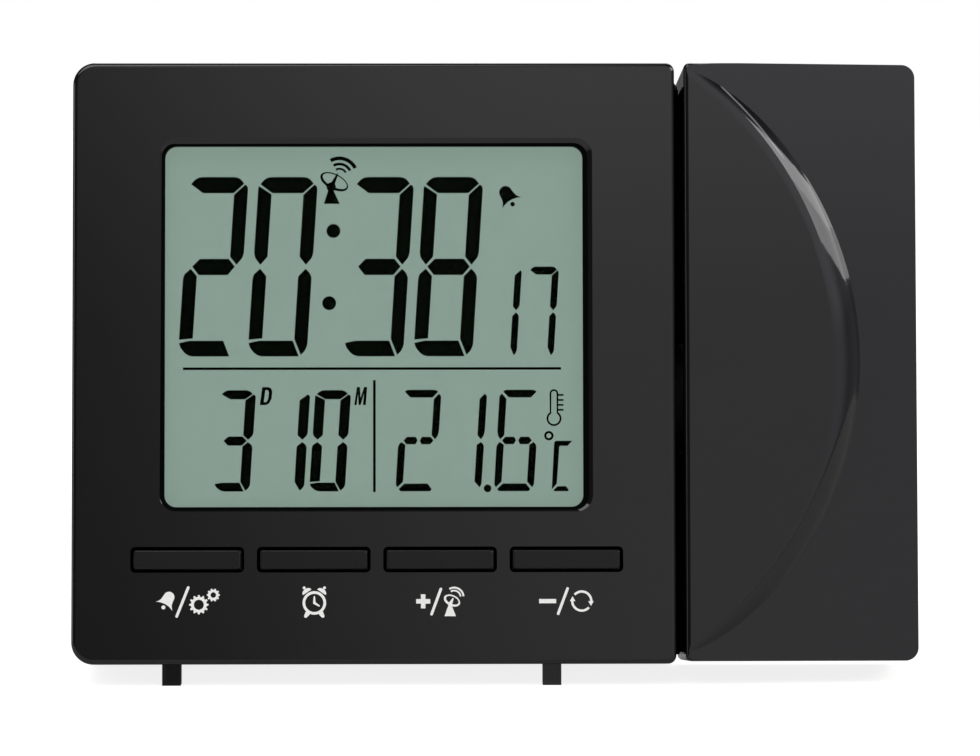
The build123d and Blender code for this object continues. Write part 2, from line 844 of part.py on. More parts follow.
# Power inlet: block behind the rear wall, collar through it, bore and centre pin
with BuildPart() as dc_jack:
    with BuildSketch(behind(case_depth - rear_wall)):
        with Locations((jack_u, jack_middle)):
            Rectangle(jack_width, jack_height)
    extrude(amount=jack_length)
    with BuildSketch(behind(case_depth - rear_wall)):
        with Locations((jack_u, jack_middle)):
            Circle(jack_collar_radius)
    extrude(amount=-rear_wall)
    with BuildSketch(behind(case_depth)):
        with Locations((jack_u, jack_middle)):
            Circle(jack_bore_radius)
    extrude(amount=jack_bore_length, mode=Mode.SUBTRACT)
    with BuildSketch(behind(case_depth - jack_bore_length)):
        with Locations((jack_u, jack_middle)):
            Circle(jack_pin_radius)
    extrude(amount=jack_pin_setback - jack_bore_length)
keep(dc_jack, "dc_jack")

# Temperature sensor standing on the back of the board
with BuildPart() as temperature_sensor:
    with BuildSketch(behind(board_back)):
        with Locations((sensor_u, sensor_middle)):
            Circle(sensor_radius)
    extrude(amount=-sensor_length)
keep(temperature_sensor, "temperature_sensor")


def make_foot(name, place):
    """Make one flip-out foot: leg, pivot pins and cored front, cut flat where it stands."""
    leg_end = foot_reach + foot_thickness * tan(radians(lean)) + overrun
    with BuildPart() as foot:
        with BuildSketch(across(place)):
            with Locations((foot_pivot_depth, foot_pivot_height)):
                Circle(foot_thickness / 2)
                Rectangle(foot_thickness, leg_end, align=(Align.CENTER, Align.MAX))
        extrude(amount=foot_width / 2, both=True)
        with BuildSketch(behind(foot_pivot_depth - foot_thickness / 2)):
            with Locations((place, foot_pivot_height - foot_reach + foot_lip)):
                Rectangle(
                    foot_width - 2 * foot_rim,
                    foot_reach - foot_lip - foot_pivot_height,
                    align=(Align.CENTER, Align.MIN),
                )
        extrude(amount=-foot_core, mode=Mode.SUBTRACT)
        with BuildSketch(across(place)):
            with Locations((foot_pivot_depth, foot_pivot_height)):
                Circle(foot_pin_radius)
        extrude(amount=pocket_width / 2 + foot_pin_length, both=True)
        split(bisect_by=Plane.XY, keep=Keep.TOP)
    keep(foot, name)


for foot_name, foot_place in zip(("foot_left", "foot_right"), foot_places):
    make_foot(foot_name, foot_place)


def make_screws(name, places, seat, radius, reach, head_radius, head):
    """Make a set of like screws driven from behind, their heads seated at one depth."""
    with BuildPart() as screws:
        with BuildSketch(behind(seat)):
            with Locations(*places):
                Circle(head_radius)
        extrude(amount=-head)
        with BuildSketch(behind(seat)):
            with Locations(*places):
                Circle(radius)
        extrude(amount=reach)
        with BuildSketch(behind(seat + head)):
            with Locations(*places):
                Rectangle(head_radius * recess_length_share, head_radius * recess_width_share)
                Rectangle(head_radius * recess_width_share, head_radius * recess_length_share)
        extrude(amount=head * recess_depth_share, mode=Mode.SUBTRACT)
    keep(screws, name)


make_screws(
    "case_screws",
    case_boss_places,
    head_seat,
    case_screw_radius,
    case_screw_grip + case_screw_bite,
    case_screw_head_radius,
    case_screw_head,
)
make_screws(
    "board_screws",
    board_boss_places,
    board_back,
    board_screw_radius,
    board_thickness + board_screw_length - loose_gap,
    board_screw_head_radius,
    board_screw_head,
)
make_screws(
    "arm_screws",
    arm_boss_places,
    head_seat,
    case_screw_radius,
    case_screw_grip + arm_screw_bite,
    case_screw_head_radius,
    case_screw_head,
)

# Swivel hub: a spool whose neck turns in the case wall and whose far end is held by the arm
hub_steps = (
    (inner_face - running_gap - hub_flange, inner_face - running_gap, hub_flange_radius),
    (inner_face - running_gap, arm_left + arm_wall + running_gap, hub_neck_radius),
    (case_width / 2 + running_gap, arm_left - running_gap, hub_collar_radius),
    (arm_left + arm_wall + running_gap, arm_left + arm_wall + running_gap + hub_flange, hub_flange_radius),
)
with BuildPart() as swivel_hub:
    for step_start, step_end, step_radius in hub_steps:
        with BuildSketch(across(step_start)):
            with Locations((split_depth, swivel_height)):
                Circle(step_radius)
        extrude(amount=step_end - step_start)
    with BuildSketch(across(hub_steps[0][0])):
        with Locations((split_depth, swivel_height)):
            Circle(hub_bore_radius)
    extrude(amount=hub_steps[-1][1] - hub_steps[0][0], mode=Mode.SUBTRACT)
keep(swivel_hub, "swivel_hub")

# What is cut from the arm's front: a wedge that deepens to the right, less the round platform
wedge_depth = facet_depth(arm_right + overrun)
platform_flare = wedge_depth * tan(radians(platform_draft))
platform_axis = Axis(above(platform_middle).from_local_coords((platform_u, 0)), side_plane.x_dir)
with BuildPart() as platform:
    with BuildSketch(above(platform_middle)):
        with BuildLine():
            Polyline(
                (platform_u, 0),
                (platform_u + platform_radius, 0),
                (platform_u + platform_radius + platform_flare, wedge_depth),
                (platform_u, wedge_depth),
                close=True,
            )
        make_face()
        fillet(vertices().group_by(Axis.Y)[0].sort_by(Axis.X)[-1], platform_edge_radius)
    revolve(axis=platform_axis)
with BuildPart() as facet_cut:
    with BuildSketch(above(arm_lift - overrun)):
        with BuildLine():
            Polyline(
                (arm_left, 0),
                (arm_right + overrun, 0),
                (arm_right + overrun, wedge_depth),
                close=True,
            )
        make_face()
    extrude(amount=arm_height + 2 * overrun)
    add(platform.part, mode=Mode.SUBTRACT)

# Arm front shell
with BuildPart() as arm_front_shell:
    with BuildSketch(face_plane):
        arm_outline(0, arm_hub_radius, arm_free_radius)
    extrude(amount=-split_depth)
    chamfer(faces().sort_by(outward)[0].edges(), parting_chamfer)
    fillet(faces().sort_by(outward)[-1].edges(), face_edge_radius)
    add(facet_cut.part, mode=Mode.SUBTRACT)
    with BuildSketch(above(arm_lift + arm_wall)):
        with BuildLine():
            Polyline(
                (arm_left + arm_wall, facet_depth(arm_left + arm_wall) + arm_wall),
                (arm_right - arm_wall, facet_depth(arm_right - arm_wall) + arm_wall),
                (arm_right - arm_wall, split_depth + overrun),
                (arm_left + arm_wall, split_depth + overrun),
                close=True,
            )
        make_face()
    extrude(amount=arm_height - 2 * arm_wall, mode=Mode.SUBTRACT)
    for boss_u, boss_height in arm_boss_places:
        boss_start = facet_depth(boss_u + arm_boss_radius) + arm_wall / 2
        with BuildSketch(behind(boss_start)):
            with Locations((boss_u, boss_height)):
                Circle(arm_boss_radius)
        extrude(amount=boss_start - split_depth)
    with BuildSketch(behind(split_depth)):
        with Locations(*arm_boss_places):
            Circle(case_screw_radius + running_gap)
    extrude(amount=arm_screw_bite + loose_gap, mode=Mode.SUBTRACT)
    with BuildSketch(across(arm_left - overrun)):
        with Locations((split_depth, swivel_height)):
            Circle(hub_neck_radius + running_gap)
    extrude(amount=arm_wall + 2 * overrun, mode=Mode.SUBTRACT)
    with BuildSketch(above(case_height - arm_wall - overrun)):
        with Locations((optic_u, optic_depth)):
            Circle(lens_opening_radius)
    extrude(amount=arm_wall + 2 * overrun, mode=Mode.SUBTRACT)
keep(arm_front_shell, "arm_front_shell")

# Arm rear shell, with the slot that the focus wheel's rim shows through
wheel_chord = 2 * sqrt(wheel_radius**2 - (arm_back - optic_depth) ** 2)
with BuildPart() as arm_rear_shell:
    with BuildSketch(behind(split_depth)):
        arm_outline(0, arm_hub_radius, arm_free_radius)
    extrude(amount=split_depth - arm_depth)
    chamfer(faces().sort_by(outward)[-1].edges(), parting_chamfer)
    fillet(faces().sort_by(outward)[0].edges(), arm_rear_radius)
    with BuildSketch(behind(split_depth)):
        arm_outline(arm_wall, inner_radius, inner_radius)
    extrude(amount=split_depth - arm_back, mode=Mode.SUBTRACT)
    with BuildSketch(behind(split_depth)):
        with Locations(*arm_boss_places):
            Circle(case_screw_head_radius + fit_gap + counterbore_wall)
    extrude(amount=split_depth - arm_back)
    with BuildSketch(behind(split_depth)):
        with Locations(*arm_boss_places):
            Circle(case_screw_radius + fit_gap)
    extrude(amount=-case_screw_grip, mode=Mode.SUBTRACT)
    with BuildSketch(behind(head_seat)):
        with Locations(*arm_boss_places):
            Circle(case_screw_head_radius + fit_gap)
    extrude(amount=head_seat - arm_depth, mode=Mode.SUBTRACT)
    with BuildSketch(behind(arm_back)):
        with Locations((optic_u, wheel_bottom + wheel_thickness / 2)):
            Rectangle(wheel_chord + 2 * wheel_slot_gap, wheel_thickness + 2 * wheel_slot_gap)
    extrude(amount=-arm_wall, mode=Mode.SUBTRACT)
    with BuildSketch(across(arm_left - overrun)):
        with Locations((split_depth, swivel_height)):
            Circle(hub_neck_radius + running_gap)
    extrude(amount=arm_wall + 2 * overrun, mode=Mode.SUBTRACT)
    with BuildSketch(above(case_height - arm_wall - overrun)):
        with Locations((optic_u, optic_depth)):
            Circle(lens_opening_radius)
    extrude(amount=arm_wall + 2 * overrun, mode=Mode.SUBTRACT)
keep(arm_rear_shell, "arm_rear_shell")

# Board of the projector's lamp, under the tube
with BuildPart() as led_board:
    with BuildSketch(above(led_board_bottom)):
        with Locations((optic_u, optic_depth)):
            Rectangle(led_board_width, led_board_span)
    extrude(amount=led_board_thickness)
keep(led_board, "led_board")

# Lamp: a round body with a domed top
with BuildPart() as projector_led:
    with BuildSketch(above(tube_bottom)):
        with Locations((optic_u, optic_depth)):
            Circle(led_radius)
    extrude(amount=led_length)
    fillet(edges().sort_by(upward)[-1], led_radius * 3 / 4)
keep(projector_led, "projector_led")

# Projector tube, with the foot that seats it on the arm's rear wall
with BuildPart() as projector_tube:
    with BuildSketch(above(tube_bottom)):
        with Locations((optic_u, optic_depth)):
            Circle(tube_radius)
    extrude(amount=tube_top - tube_bottom)
    with BuildSketch(above((tube_bottom + tube_top - tube_foot_length) / 2)):
        with Locations((optic_u, optic_depth)):
            Rectangle(tube_foot_width, arm_back - optic_depth, align=(Align.CENTER, Align.MIN))
    extrude(amount=tube_foot_length)
    with BuildSketch(above(tube_bottom)):
        with Locations((optic_u, optic_depth)):
            Circle(tube_bore_radius)
    extrude(amount=tube_top - tube_bottom, mode=Mode.SUBTRACT)
keep(projector_tube, "projector_tube")


def make_lens(name, bottom, radius, edge, crown):
    """Make a flat-backed lens on the projector's axis, its crown upward."""
    bulge = (radius**2 + crown**2) / (2 * crown)
    lens_axis = Axis(above(bottom).from_local_coords((optic_u, optic_depth)), top_plane.z_dir)
    with BuildPart() as lens:
        with BuildSketch(face_plane.offset(-optic_depth)):
            with BuildLine():
                Polyline(
                    (optic_u, bottom + edge + crown),
                    (optic_u, bottom),
                    (optic_u + radius, bottom),
                    (optic_u + radius, bottom + edge),
                )
                RadiusArc((optic_u + radius, bottom + edge), (optic_u, bottom + edge + crown), -bulge)
            make_face()
        revolve(axis=lens_axis)
    keep(lens, name)


make_lens("condenser_lens", condenser_bottom, barrel_radius, condenser_edge, condenser_crown)

# Small display that the lamp shines through
with BuildPart() as projector_slide:
    with BuildSketch(above(slide_bottom)):
        with Locations((optic_u, optic_depth)):
            Circle(barrel_radius)
    extrude(amount=slide_thickness)
keep(projector_slide, "projector_slide")

# Lens barrel that slides in the tube, and the lens in its mouth
lens_seat = barrel_top - lens_sink - lens_edge - lens_crown
with BuildPart() as lens_barrel:
    with BuildSketch(above(barrel_bottom)):
        with Locations((optic_u, optic_depth)):
            Circle(barrel_radius)
            Circle(barrel_bore_radius, mode=Mode.SUBTRACT)
    extrude(amount=barrel_top - barrel_bottom)
    with BuildSketch(above(lens_seat)):
        with Locations((optic_u, optic_depth)):
            Circle(lens_radius + running_gap)
    extrude(amount=barrel_top - lens_seat, mode=Mode.SUBTRACT)
keep(lens_barrel, "lens_barrel")
make_lens("projector_lens", lens_seat, lens_radius, lens_edge, lens_crown)

# Focus wheel: a notched ring round the barrel, standing on the tube
with BuildPart() as focus_wheel:
    with BuildSketch(above(wheel_bottom)):
        with Locations((optic_u, optic_depth)):
            Circle(wheel_radius)
            Circle(barrel_radius + running_gap, mode=Mode.SUBTRACT)
            with PolarLocations(wheel_radius, wheel_notch_count):
                Circle(wheel_notch_radius, mode=Mode.SUBTRACT)
    extrude(amount=wheel_thickness)
keep(focus_wheel, "focus_wheel")

# Wires on the swivel axis, from the header on the main board to the lamp's board
header_u = board_edge - header_setback
with BuildPart() as projector_wires:
    with BuildSketch(across(header_u + loose_gap)):
        with Locations((split_depth, swivel_height)):
            Circle(wire_radius)
    extrude(amount=optic_u - led_board_width / 2 + wire_landing - header_u - loose_gap)
keep(projector_wires, "projector_wires")

with BuildPart() as board_header:
    with BuildSketch(behind(board_back)):
        with Locations((header_u, swivel_height)):
            Rectangle(header_length, header_height, align=(Align.MAX, Align.CENTER))
    extrude(amount=board_back - split_depth - wire_radius)
keep(board_header, "board_header")
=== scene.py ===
"""Looks of a projection alarm clock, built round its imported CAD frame.

The clock's own directions are used all through: u runs right along the face from the case's
middle line, v runs up the face from its bottom edge, and out runs from the face to the viewer.
Sizes are in millimetres and become metres when a piece is placed.
"""

from __future__ import annotations

import json
import logging
import math
from dataclasses import dataclass, field
from enum import Enum
from typing import Any

import bpy
from mathutils import Matrix, Quaternion, Vector

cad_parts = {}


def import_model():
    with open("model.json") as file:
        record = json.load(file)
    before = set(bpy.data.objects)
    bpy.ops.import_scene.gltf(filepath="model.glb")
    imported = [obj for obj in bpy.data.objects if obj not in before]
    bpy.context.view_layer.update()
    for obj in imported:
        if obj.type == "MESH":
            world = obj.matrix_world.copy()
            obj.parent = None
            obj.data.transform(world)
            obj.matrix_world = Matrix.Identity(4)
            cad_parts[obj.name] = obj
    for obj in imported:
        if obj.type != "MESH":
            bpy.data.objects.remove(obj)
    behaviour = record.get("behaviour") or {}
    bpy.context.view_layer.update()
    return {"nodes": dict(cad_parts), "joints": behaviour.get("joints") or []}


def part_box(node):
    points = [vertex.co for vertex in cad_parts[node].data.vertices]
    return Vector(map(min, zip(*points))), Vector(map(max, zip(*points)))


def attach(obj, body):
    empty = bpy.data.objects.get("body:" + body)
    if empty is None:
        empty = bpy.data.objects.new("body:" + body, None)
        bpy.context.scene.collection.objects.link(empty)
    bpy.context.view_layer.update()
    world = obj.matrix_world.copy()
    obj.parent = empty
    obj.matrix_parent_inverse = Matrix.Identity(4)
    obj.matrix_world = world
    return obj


LOG = logging.getLogger("clock")
MM = 0.001
# Overlapping plates of one piece differ this much in thickness, so no two faces share a plane.
LAYER_STEP = 0.05
SPECULAR = "Specular IOR Level"
WHITE = (1.0, 1.0, 1.0, 1.0)

Tree = bpy.types.NodeTree
Socket = bpy.types.NodeSocket
Piece = bpy.types.Object
Point = tuple[float, float]
Outline = list[Point]
Shape = list[Outline]
Place = tuple[float, float, float]


def linear(code: str) -> tuple[float, float, float, float]:
    """Turn an sRGB hex colour into linear RGBA.

    Args:
        code: Colour such as "#1a2b3c".

    Returns:
        The colour as Blender's sockets take it.
    """
    parts = [int(code[i : i + 2], 16) / 255 for i in (1, 3, 5)]
    red, green, blue = [p / 12.92 if p <= 0.04045 else ((p + 0.055) / 1.055) ** 2.4 for p in parts]
    return red, green, blue, 1.0


def add_node(
    tree: Tree, kind: str, inputs: dict[Any, Any] | None = None, **settings: Any
) -> bpy.types.Node:
    """Add one node with its settings and what feeds it.

    Args:
        tree: Node tree that takes the node.
        kind: Blender's name of the node type.
        inputs: Value or feeding socket for each named or numbered input.
        settings: Properties of the node itself.

    Returns:
        The new node.
    """
    node = tree.nodes.new(kind)
    for name, value in settings.items():
        setattr(node, name, value)
    for name, value in (inputs or {}).items():
        if isinstance(value, Socket):
            tree.links.new(value, node.inputs[name])
        else:
            node.inputs[name].default_value = value
    return node


class Run(Enum):
    """Direction that a pattern runs in, as a scale on each object axis."""

    EVEN = (1.0, 1.0, 1.0)
    ALONG_X = (0.05, 1.0, 1.0)
    ROUND_X = (1.0, 0.02, 0.02)


@dataclass(frozen=True)
class Finish:
    """One material: two near tones in a fine pattern, with its own roughness and relief.

    Attributes:
        name: What the material is and how its surface was made.
        tone: Main colour.
        second: Colour that the pattern mixes in.
        grain_mm: Size of the pattern.
        rough: Lowest and highest roughness.
        relief_mm: Height of the relief.
        run: Direction of the pattern.
        shader: Constants of the shader's own sockets.
    """

    name: str
    tone: str
    second: str
    grain_mm: float
    rough: tuple[float, float]
    relief_mm: float = 0.0
    run: Run = Run.EVEN
    shader: dict[str, Any] = field(default_factory=dict)

    NOISE = {"Detail": 3.0, "Roughness": 0.55}

    def make(self) -> bpy.types.Material:
        """Build the material, or give it again if it was built before.

        Returns:
            The finished material.
        """
        known = bpy.data.materials.get(self.name)
        if known:
            return known
        material = bpy.data.materials.new(self.name)
        material.use_nodes = True
        tree = material.node_tree
        shader = tree.nodes["Principled BSDF"]
        for socket, value in self.shader.items():
            shader.inputs[socket].default_value = value
        place = add_node(tree, "ShaderNodeTexCoord").outputs["Object"]
        turned = add_node(tree, "ShaderNodeMapping", {"Vector": place, "Scale": self.run.value})
        pattern = self.pattern(tree, turned.outputs["Vector"])
        tones = {"Factor": pattern, "A": linear(self.tone), "B": linear(self.second)}
        colour = add_node(tree, "ShaderNodeMix", tones, data_type="RGBA")
        tree.links.new(colour.outputs["Result"], shader.inputs["Base Color"])
        span = {"Value": pattern, "To Min": self.rough[0], "To Max": self.rough[1]}
        shine = add_node(tree, "ShaderNodeMapRange", span)
        tree.links.new(shine.outputs["Result"], shader.inputs["Roughness"])
        if self.relief_mm:
            height = {"Height": pattern, "Distance": self.relief_mm * MM}
            relief = add_node(tree, "ShaderNodeBump", height)
            tree.links.new(relief.outputs["Normal"], shader.inputs["Normal"])
        return material

    def pattern(self, tree: Tree, place: Socket) -> Socket:
        """Draw the surface's pattern.

        Args:
            tree: Node tree of the material.
            place: Coordinates to draw it on.

        Returns:
            A socket from 0 to 1.
        """
        inputs = {"Vector": place, "Scale": 1 / (self.grain_mm * MM), **self.NOISE}
        return add_node(tree, "ShaderNodeTexNoise", inputs).outputs["Fac"]


class RibbedFinish(Finish):
    """A finish whose pattern is even bands, such as a winding or layered rubber."""

    BAND_TURN = math.pi / 10

    def pattern(self, tree: Tree, place: Socket) -> Socket:
        """Draw bands along X, a grain apart; see Finish.pattern."""
        inputs = {"Vector": place, "Scale": self.BAND_TURN / (self.grain_mm * MM)}
        bands = add_node(
            tree, "ShaderNodeTexWave", inputs, wave_type="BANDS", bands_direction="X"
        )
        return bands.outputs["Fac"]


class BoardFinish(Finish):
    """Green solder mask over copper tracks, which show as paler lines a grain apart."""

    TRACK_SHARE = 1 / 6
    TRACK_RUN = 3
    TRACK_SOFT = 0.1

    def pattern(self, tree: Tree, place: Socket) -> Socket:
        """Draw square-cornered tracks; see Finish.pattern."""
        grain = self.grain_mm * MM
        inputs = {
            "Vector": place,
            "Scale": 1.0,
            "Mortar Size": grain * self.TRACK_SHARE,
            "Mortar Smooth": self.TRACK_SOFT,
            "Brick Width": grain * self.TRACK_RUN,
            "Row Height": grain,
        }
        return add_node(tree, "ShaderNodeTexBrick", inputs).outputs["Fac"]


Dressing = tuple[tuple[Finish, tuple[str, ...]], ...]

# Moulded ABS from a polished tool: near black, with a faint unevenness of the gloss.
CASE_GLOSS = Finish("Glossy black ABS, moulded", "#0f0f10", "#121213", 9.0, (0.04, 0.07), 0.0006)
# Keys from a finely etched tool: the sheen is wider and softer than the case's.
KEY_SATIN = Finish(
    "Satin black ABS, etched tool", "#0c0c0d", "#0f0f10", 0.35, (0.26, 0.3), 0.0006,
    shader={SPECULAR: 0.34},
)
# Turned acetal of the swivel, darker and duller than the case: painted shade that keeps it dark in
# the gap beside the arm.
HUB_SHADED_ACETAL = Finish(
    "Black acetal, darkened as painted shade", "#060606", "#0a0a0a", 0.5, (0.5, 0.6), 0.003,
    Run.ROUND_X, {SPECULAR: 0.1},
)
# Matt black paint on the inner part of the slope round the display: painted shade, which keeps the
# slope dark and without glare.
BEZEL_SHADE_PAINT = Finish(
    "Matt black paint, painted shade", "#020303", "#040505", 0.4, (0.6, 0.7), 0.001,
    shader={SPECULAR: 0.02},
)
# Pressed black felt in the gap beside the arm, and black foam round the keys: both are painted
# shade, which keeps these gaps dark without any sheen.
GAP_SHADE_FELT = Finish(
    "Black felt, painted shade in the arm gap", "#020202", "#050505", 0.3, (0.9, 1.0), 0.03, shader={SPECULAR: 0.0}
)
SLOT_SHADE_FOAM = Finish(
    "Black foam, painted shade in the key slots", "#010101", "#030303", 0.2, (0.9, 1.0), 0.01, shader={SPECULAR: 0.0}
)
# Cast acrylic with a coat against glare: it mirrors far less than bare acrylic.
COATED_ACRYLIC = Finish(
    "Clear acrylic, anti-glare coat", "#fcfefd", "#f9fcfb", 6.0, (0.02, 0.04),
    shader={"Transmission Weight": 1.0, "IOR": 1.06},
)
LENS_ACRYLIC = Finish(
    "Clear acrylic, polished", "#fbfdfc", "#f6faf8", 6.0, (0.02, 0.04),
    shader={"Transmission Weight": 1.0, "IOR": 1.49},
)
# Float glass with a faint green edge.
DISPLAY_GLASS = Finish(
    "Display glass, drawn", "#b8ccc0", "#b0c6ba", 12.0, (0.03, 0.06),
    shader={"Transmission Weight": 0.75, "IOR": 1.3},
)
# Grey-green polariser film over the whole display; its glow is painted light, which keeps the film
# evenly bright out to the recess's edges.
POLARISER_PAINTED_GLOW = Finish(
    "Polariser film, painted glow", "#3f4943", "#3d4741", 5.0, (0.52, 0.62),
    shader={
        SPECULAR: 0.05, "Emission Color": linear("#8b9f94"), "Emission Strength": 0.8,
    },
)
# A driven segment of the display: nearly black with a green tint, under the same film.
DISPLAY_INK = Finish(
    "Driven liquid crystal segment", "#030602", "#050904", 2.0, (0.5, 0.6),
    shader={SPECULAR: 0.0},
)
# White ink put on with a pad: slightly uneven cover.
PRINTED_INK = Finish("White pad-printed ink", "#f2f2f0", "#e4e4e2", 0.5, (0.45, 0.6), 0.002)
# Milky acrylic plate of the backlight.
DIFFUSER = Finish("Opal acrylic diffuser", "#d5ded8", "#c9d4cd", 3.0, (0.5, 0.6), 0.002)
# Inner mouldings straight from the tool.
INNER_PLASTIC = Finish("Black ABS, as moulded", "#1b1b1b", "#262626", 0.8, (0.5, 0.65), 0.006)
STEM_PLASTIC = Finish("Grey acetal, turned", "#34343a", "#3d3d44", 0.5, (0.4, 0.5), 0.003)
# Layered rubber: carbon layers show as fine bands along the strip.
CONTACT_RUBBER = RibbedFinish(
    "Layered silicone contact rubber", "#9d9d97", "#2a2a29", 0.5, (0.6, 0.75), 0.004
)
BOARD_GREEN = BoardFinish(
    "Glass-epoxy board, solder mask", "#1c5130", "#3d7d52", 2.5, (0.3, 0.42), 0.02
)
# Zinc-plated steel, brushed along its length before plating.
PLATED_STEEL = Finish(
    "Zinc-plated steel", "#b9bbbd", "#9fa2a5", 0.7, (0.25, 0.42), 0.004,
    Run.ALONG_X, {"Metallic": 1.0},
)
# Shrink sleeve on a dry cell: satin film with a slight pull along the can.
CELL_WRAP = Finish(
    "Shrink sleeve, satin film", "#2b3036", "#5b6067", 6.0, (0.28, 0.38), 0.003, Run.ROUND_X
)
FERRITE = Finish("Sintered ferrite", "#26272a", "#34353a", 0.4, (0.55, 0.75), 0.01)
COPPER_COIL = RibbedFinish(
    "Enamelled copper winding", "#b4622f", "#6e3318", 0.35, (0.25, 0.4), 0.08,
    shader={"Metallic": 0.85},
)
LAMP_RESIN = Finish(
    "Red cast epoxy", "#c01a14", "#a3120e", 1.5, (0.08, 0.14), shader={"Transmission Weight": 0.6}
)
SENSOR_BEAD = Finish("Dipped ceramic bead", "#1c1c22", "#2a2a31", 0.5, (0.3, 0.45), 0.01)
WIRE_SLEEVE = Finish("Red PVC wire sleeve", "#8e1512", "#75100e", 0.8, (0.4, 0.5), 0.004)


class FaceFrame:
    """Places in the clock's own directions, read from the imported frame."""

    SWIVEL_V = 44.5
    SWIVEL_DEPTH = 13.0

    def __init__(self, joints: list[dict[str, Any]]) -> None:
        """Read the directions and the face's corner.

        Args:
            joints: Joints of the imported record.
        """
        by_name = {joint["name"]: joint for joint in joints}
        self.up = Vector(by_name["focus_turn"]["axis"]).normalized()
        self.depth = Vector(by_name["set_key_press"]["axis"]).normalized()
        self.across = Vector((1, 0, 0))
        swivel = Vector(by_name["arm_swivel"]["pos_m"])
        low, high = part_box("display_window")
        swivel.x = (low.x + high.x) / 2
        self.origin = swivel - self.SWIVEL_V * MM * self.up - self.SWIVEL_DEPTH * MM * self.depth

    def matrix(self, v: float = 0.0, out: float = 0.0, u: float = 0.0) -> Matrix:
        """Give the matrix that puts a flat drawing in millimetres on the face.

        Args:
            v: Place of the drawing's origin up the face.
            out: Its height over the face.
            u: Its place across the face.

        Returns:
            A matrix with its scale from millimetres to metres.
        """
        place = self.origin + MM * (u * self.across + v * self.up - out * self.depth)
        turn = Matrix((self.across, self.up, -self.depth)).transposed().to_4x4()
        return Matrix.Translation(place) @ turn @ Matrix.Scale(MM, 4)

    def side_matrix(self, u: float) -> Matrix:
        """Give the matrix that puts a drawing of depth and v on a plane across the clock.

        Args:
            u: Place of the plane.

        Returns:
            A matrix with its scale from millimetres to metres.
        """
        place = self.origin + u * MM * self.across
        turn = Matrix((self.depth, self.up, self.across)).transposed().to_4x4()
        return Matrix.Translation(place) @ turn @ Matrix.Scale(MM, 4)


def arc(u: float, v: float, radius: float, start: float, end: float, steps: int = 16) -> Outline:
    """Give points along a circle.

    Args:
        u: Middle of the circle.
        v: Middle of the circle.
        radius: Its radius.
        start: First angle in degrees.
        end: Last angle in degrees.
        steps: Number of points.

    Returns:
        The points from the first to the last angle.
    """
    turns = [math.radians(start + (end - start) * i / (steps - 1)) for i in range(steps)]
    return [(u + radius * math.cos(t), v + radius * math.sin(t)) for t in turns]


def point_at(radius: float, turn: float) -> Point:
    """Give the point at an angle in degrees on a circle about the origin."""
    return radius * math.cos(math.radians(turn)), radius * math.sin(math.radians(turn))


def ring(u: float, v: float, radius: float, steps: int = 40) -> Outline:
    """Give the points of a circle."""
    return arc(u, v, radius, 0.0, 360.0 * (steps - 1) / steps, steps)


def band(u: float, v: float, radius: float, width: float, start: float, end: float) -> Outline:
    """Give the outline of a part of a ring."""
    outer = arc(u, v, radius + width / 2, start, end)
    return outer + arc(u, v, radius - width / 2, end, start)


def rod(start: Point, end: Point, width: float, end_width: float | None = None) -> Outline:
    """Give the outline of a round-ended bar, which may taper.

    Args:
        start: Middle of its first end.
        end: Middle of its other end.
        width: Width at the first end.
        end_width: Width at the other end, if it differs.

    Returns:
        The closed outline.
    """
    heading = math.degrees(math.atan2(end[1] - start[1], end[0] - start[0]))
    far = arc(*end, (end_width or width) / 2, heading - 90, heading + 90, 9)
    return far + arc(*start, width / 2, heading + 90, heading + 270, 9)


def bar(start: Point, end: Point, width: float) -> Outline:
    """Give the outline of a square-ended bar that runs level or upright."""
    level = start[1] == end[1]
    side = (0.0, width / 2) if level else (width / 2, 0.0)
    near = [(start[0] - side[0], start[1] - side[1]), (start[0] + side[0], start[1] + side[1])]
    return near + [(end[0] + side[0], end[1] + side[1]), (end[0] - side[0], end[1] - side[1])]


def placed(outline: Outline, u: float, v: float, turn: float = 0.0, size: float = 1.0) -> Outline:
    """Scale, turn and move an outline.

    Args:
        outline: The outline, drawn about the origin.
        u: Where its origin goes.
        v: Where its origin goes.
        turn: Turn to the left in degrees.
        size: Scale.

    Returns:
        The outline in its place.
    """
    along, up = size * math.cos(math.radians(turn)), size * math.sin(math.radians(turn))
    return [(u + a * along - b * up, v + a * up + b * along) for a, b in outline]


def flat_shape(shape: Shape, thickness: float) -> Piece:
    """Make a flat plate from closed outlines; one inside another leaves a hole.

    Args:
        shape: Closed outlines in millimetres.
        thickness: Thickness in millimetres.

    Returns:
        The plate as a mesh, about the origin.
    """
    bpy.ops.object.select_all(action="DESELECT")
    bpy.ops.curve.primitive_bezier_circle_add(radius=1.0)
    drawing = bpy.context.active_object.data
    drawing.dimensions = "2D"
    drawing.fill_mode = "BOTH"
    drawing.extrude = thickness / 2
    drawing.splines.clear()
    for outline in shape:
        spline = drawing.splines.new("POLY")
        spline.points.add(len(outline) - 1)
        for point, (u, v) in zip(spline.points, outline):
            point.co = (u, v, 0.0, 1.0)
        spline.use_cyclic_u = True
    bpy.ops.object.convert(target="MESH")
    return bpy.context.active_object


def seat(piece: Piece, name: str, place: Matrix, finish: Finish) -> Piece:
    """Name a drawn piece, move its mesh to its place and give it its finish.

    Args:
        piece: The piece, drawn in millimetres about the origin.
        name: Its name.
        place: Matrix that puts it on the clock.
        finish: Its finish.

    Returns:
        The same piece.
    """
    piece.name = piece.data.name = name
    piece.matrix_world = place
    bpy.ops.object.transform_apply(location=True, rotation=True, scale=True)
    piece.data.materials.clear()
    piece.data.materials.append(finish.make())
    return piece


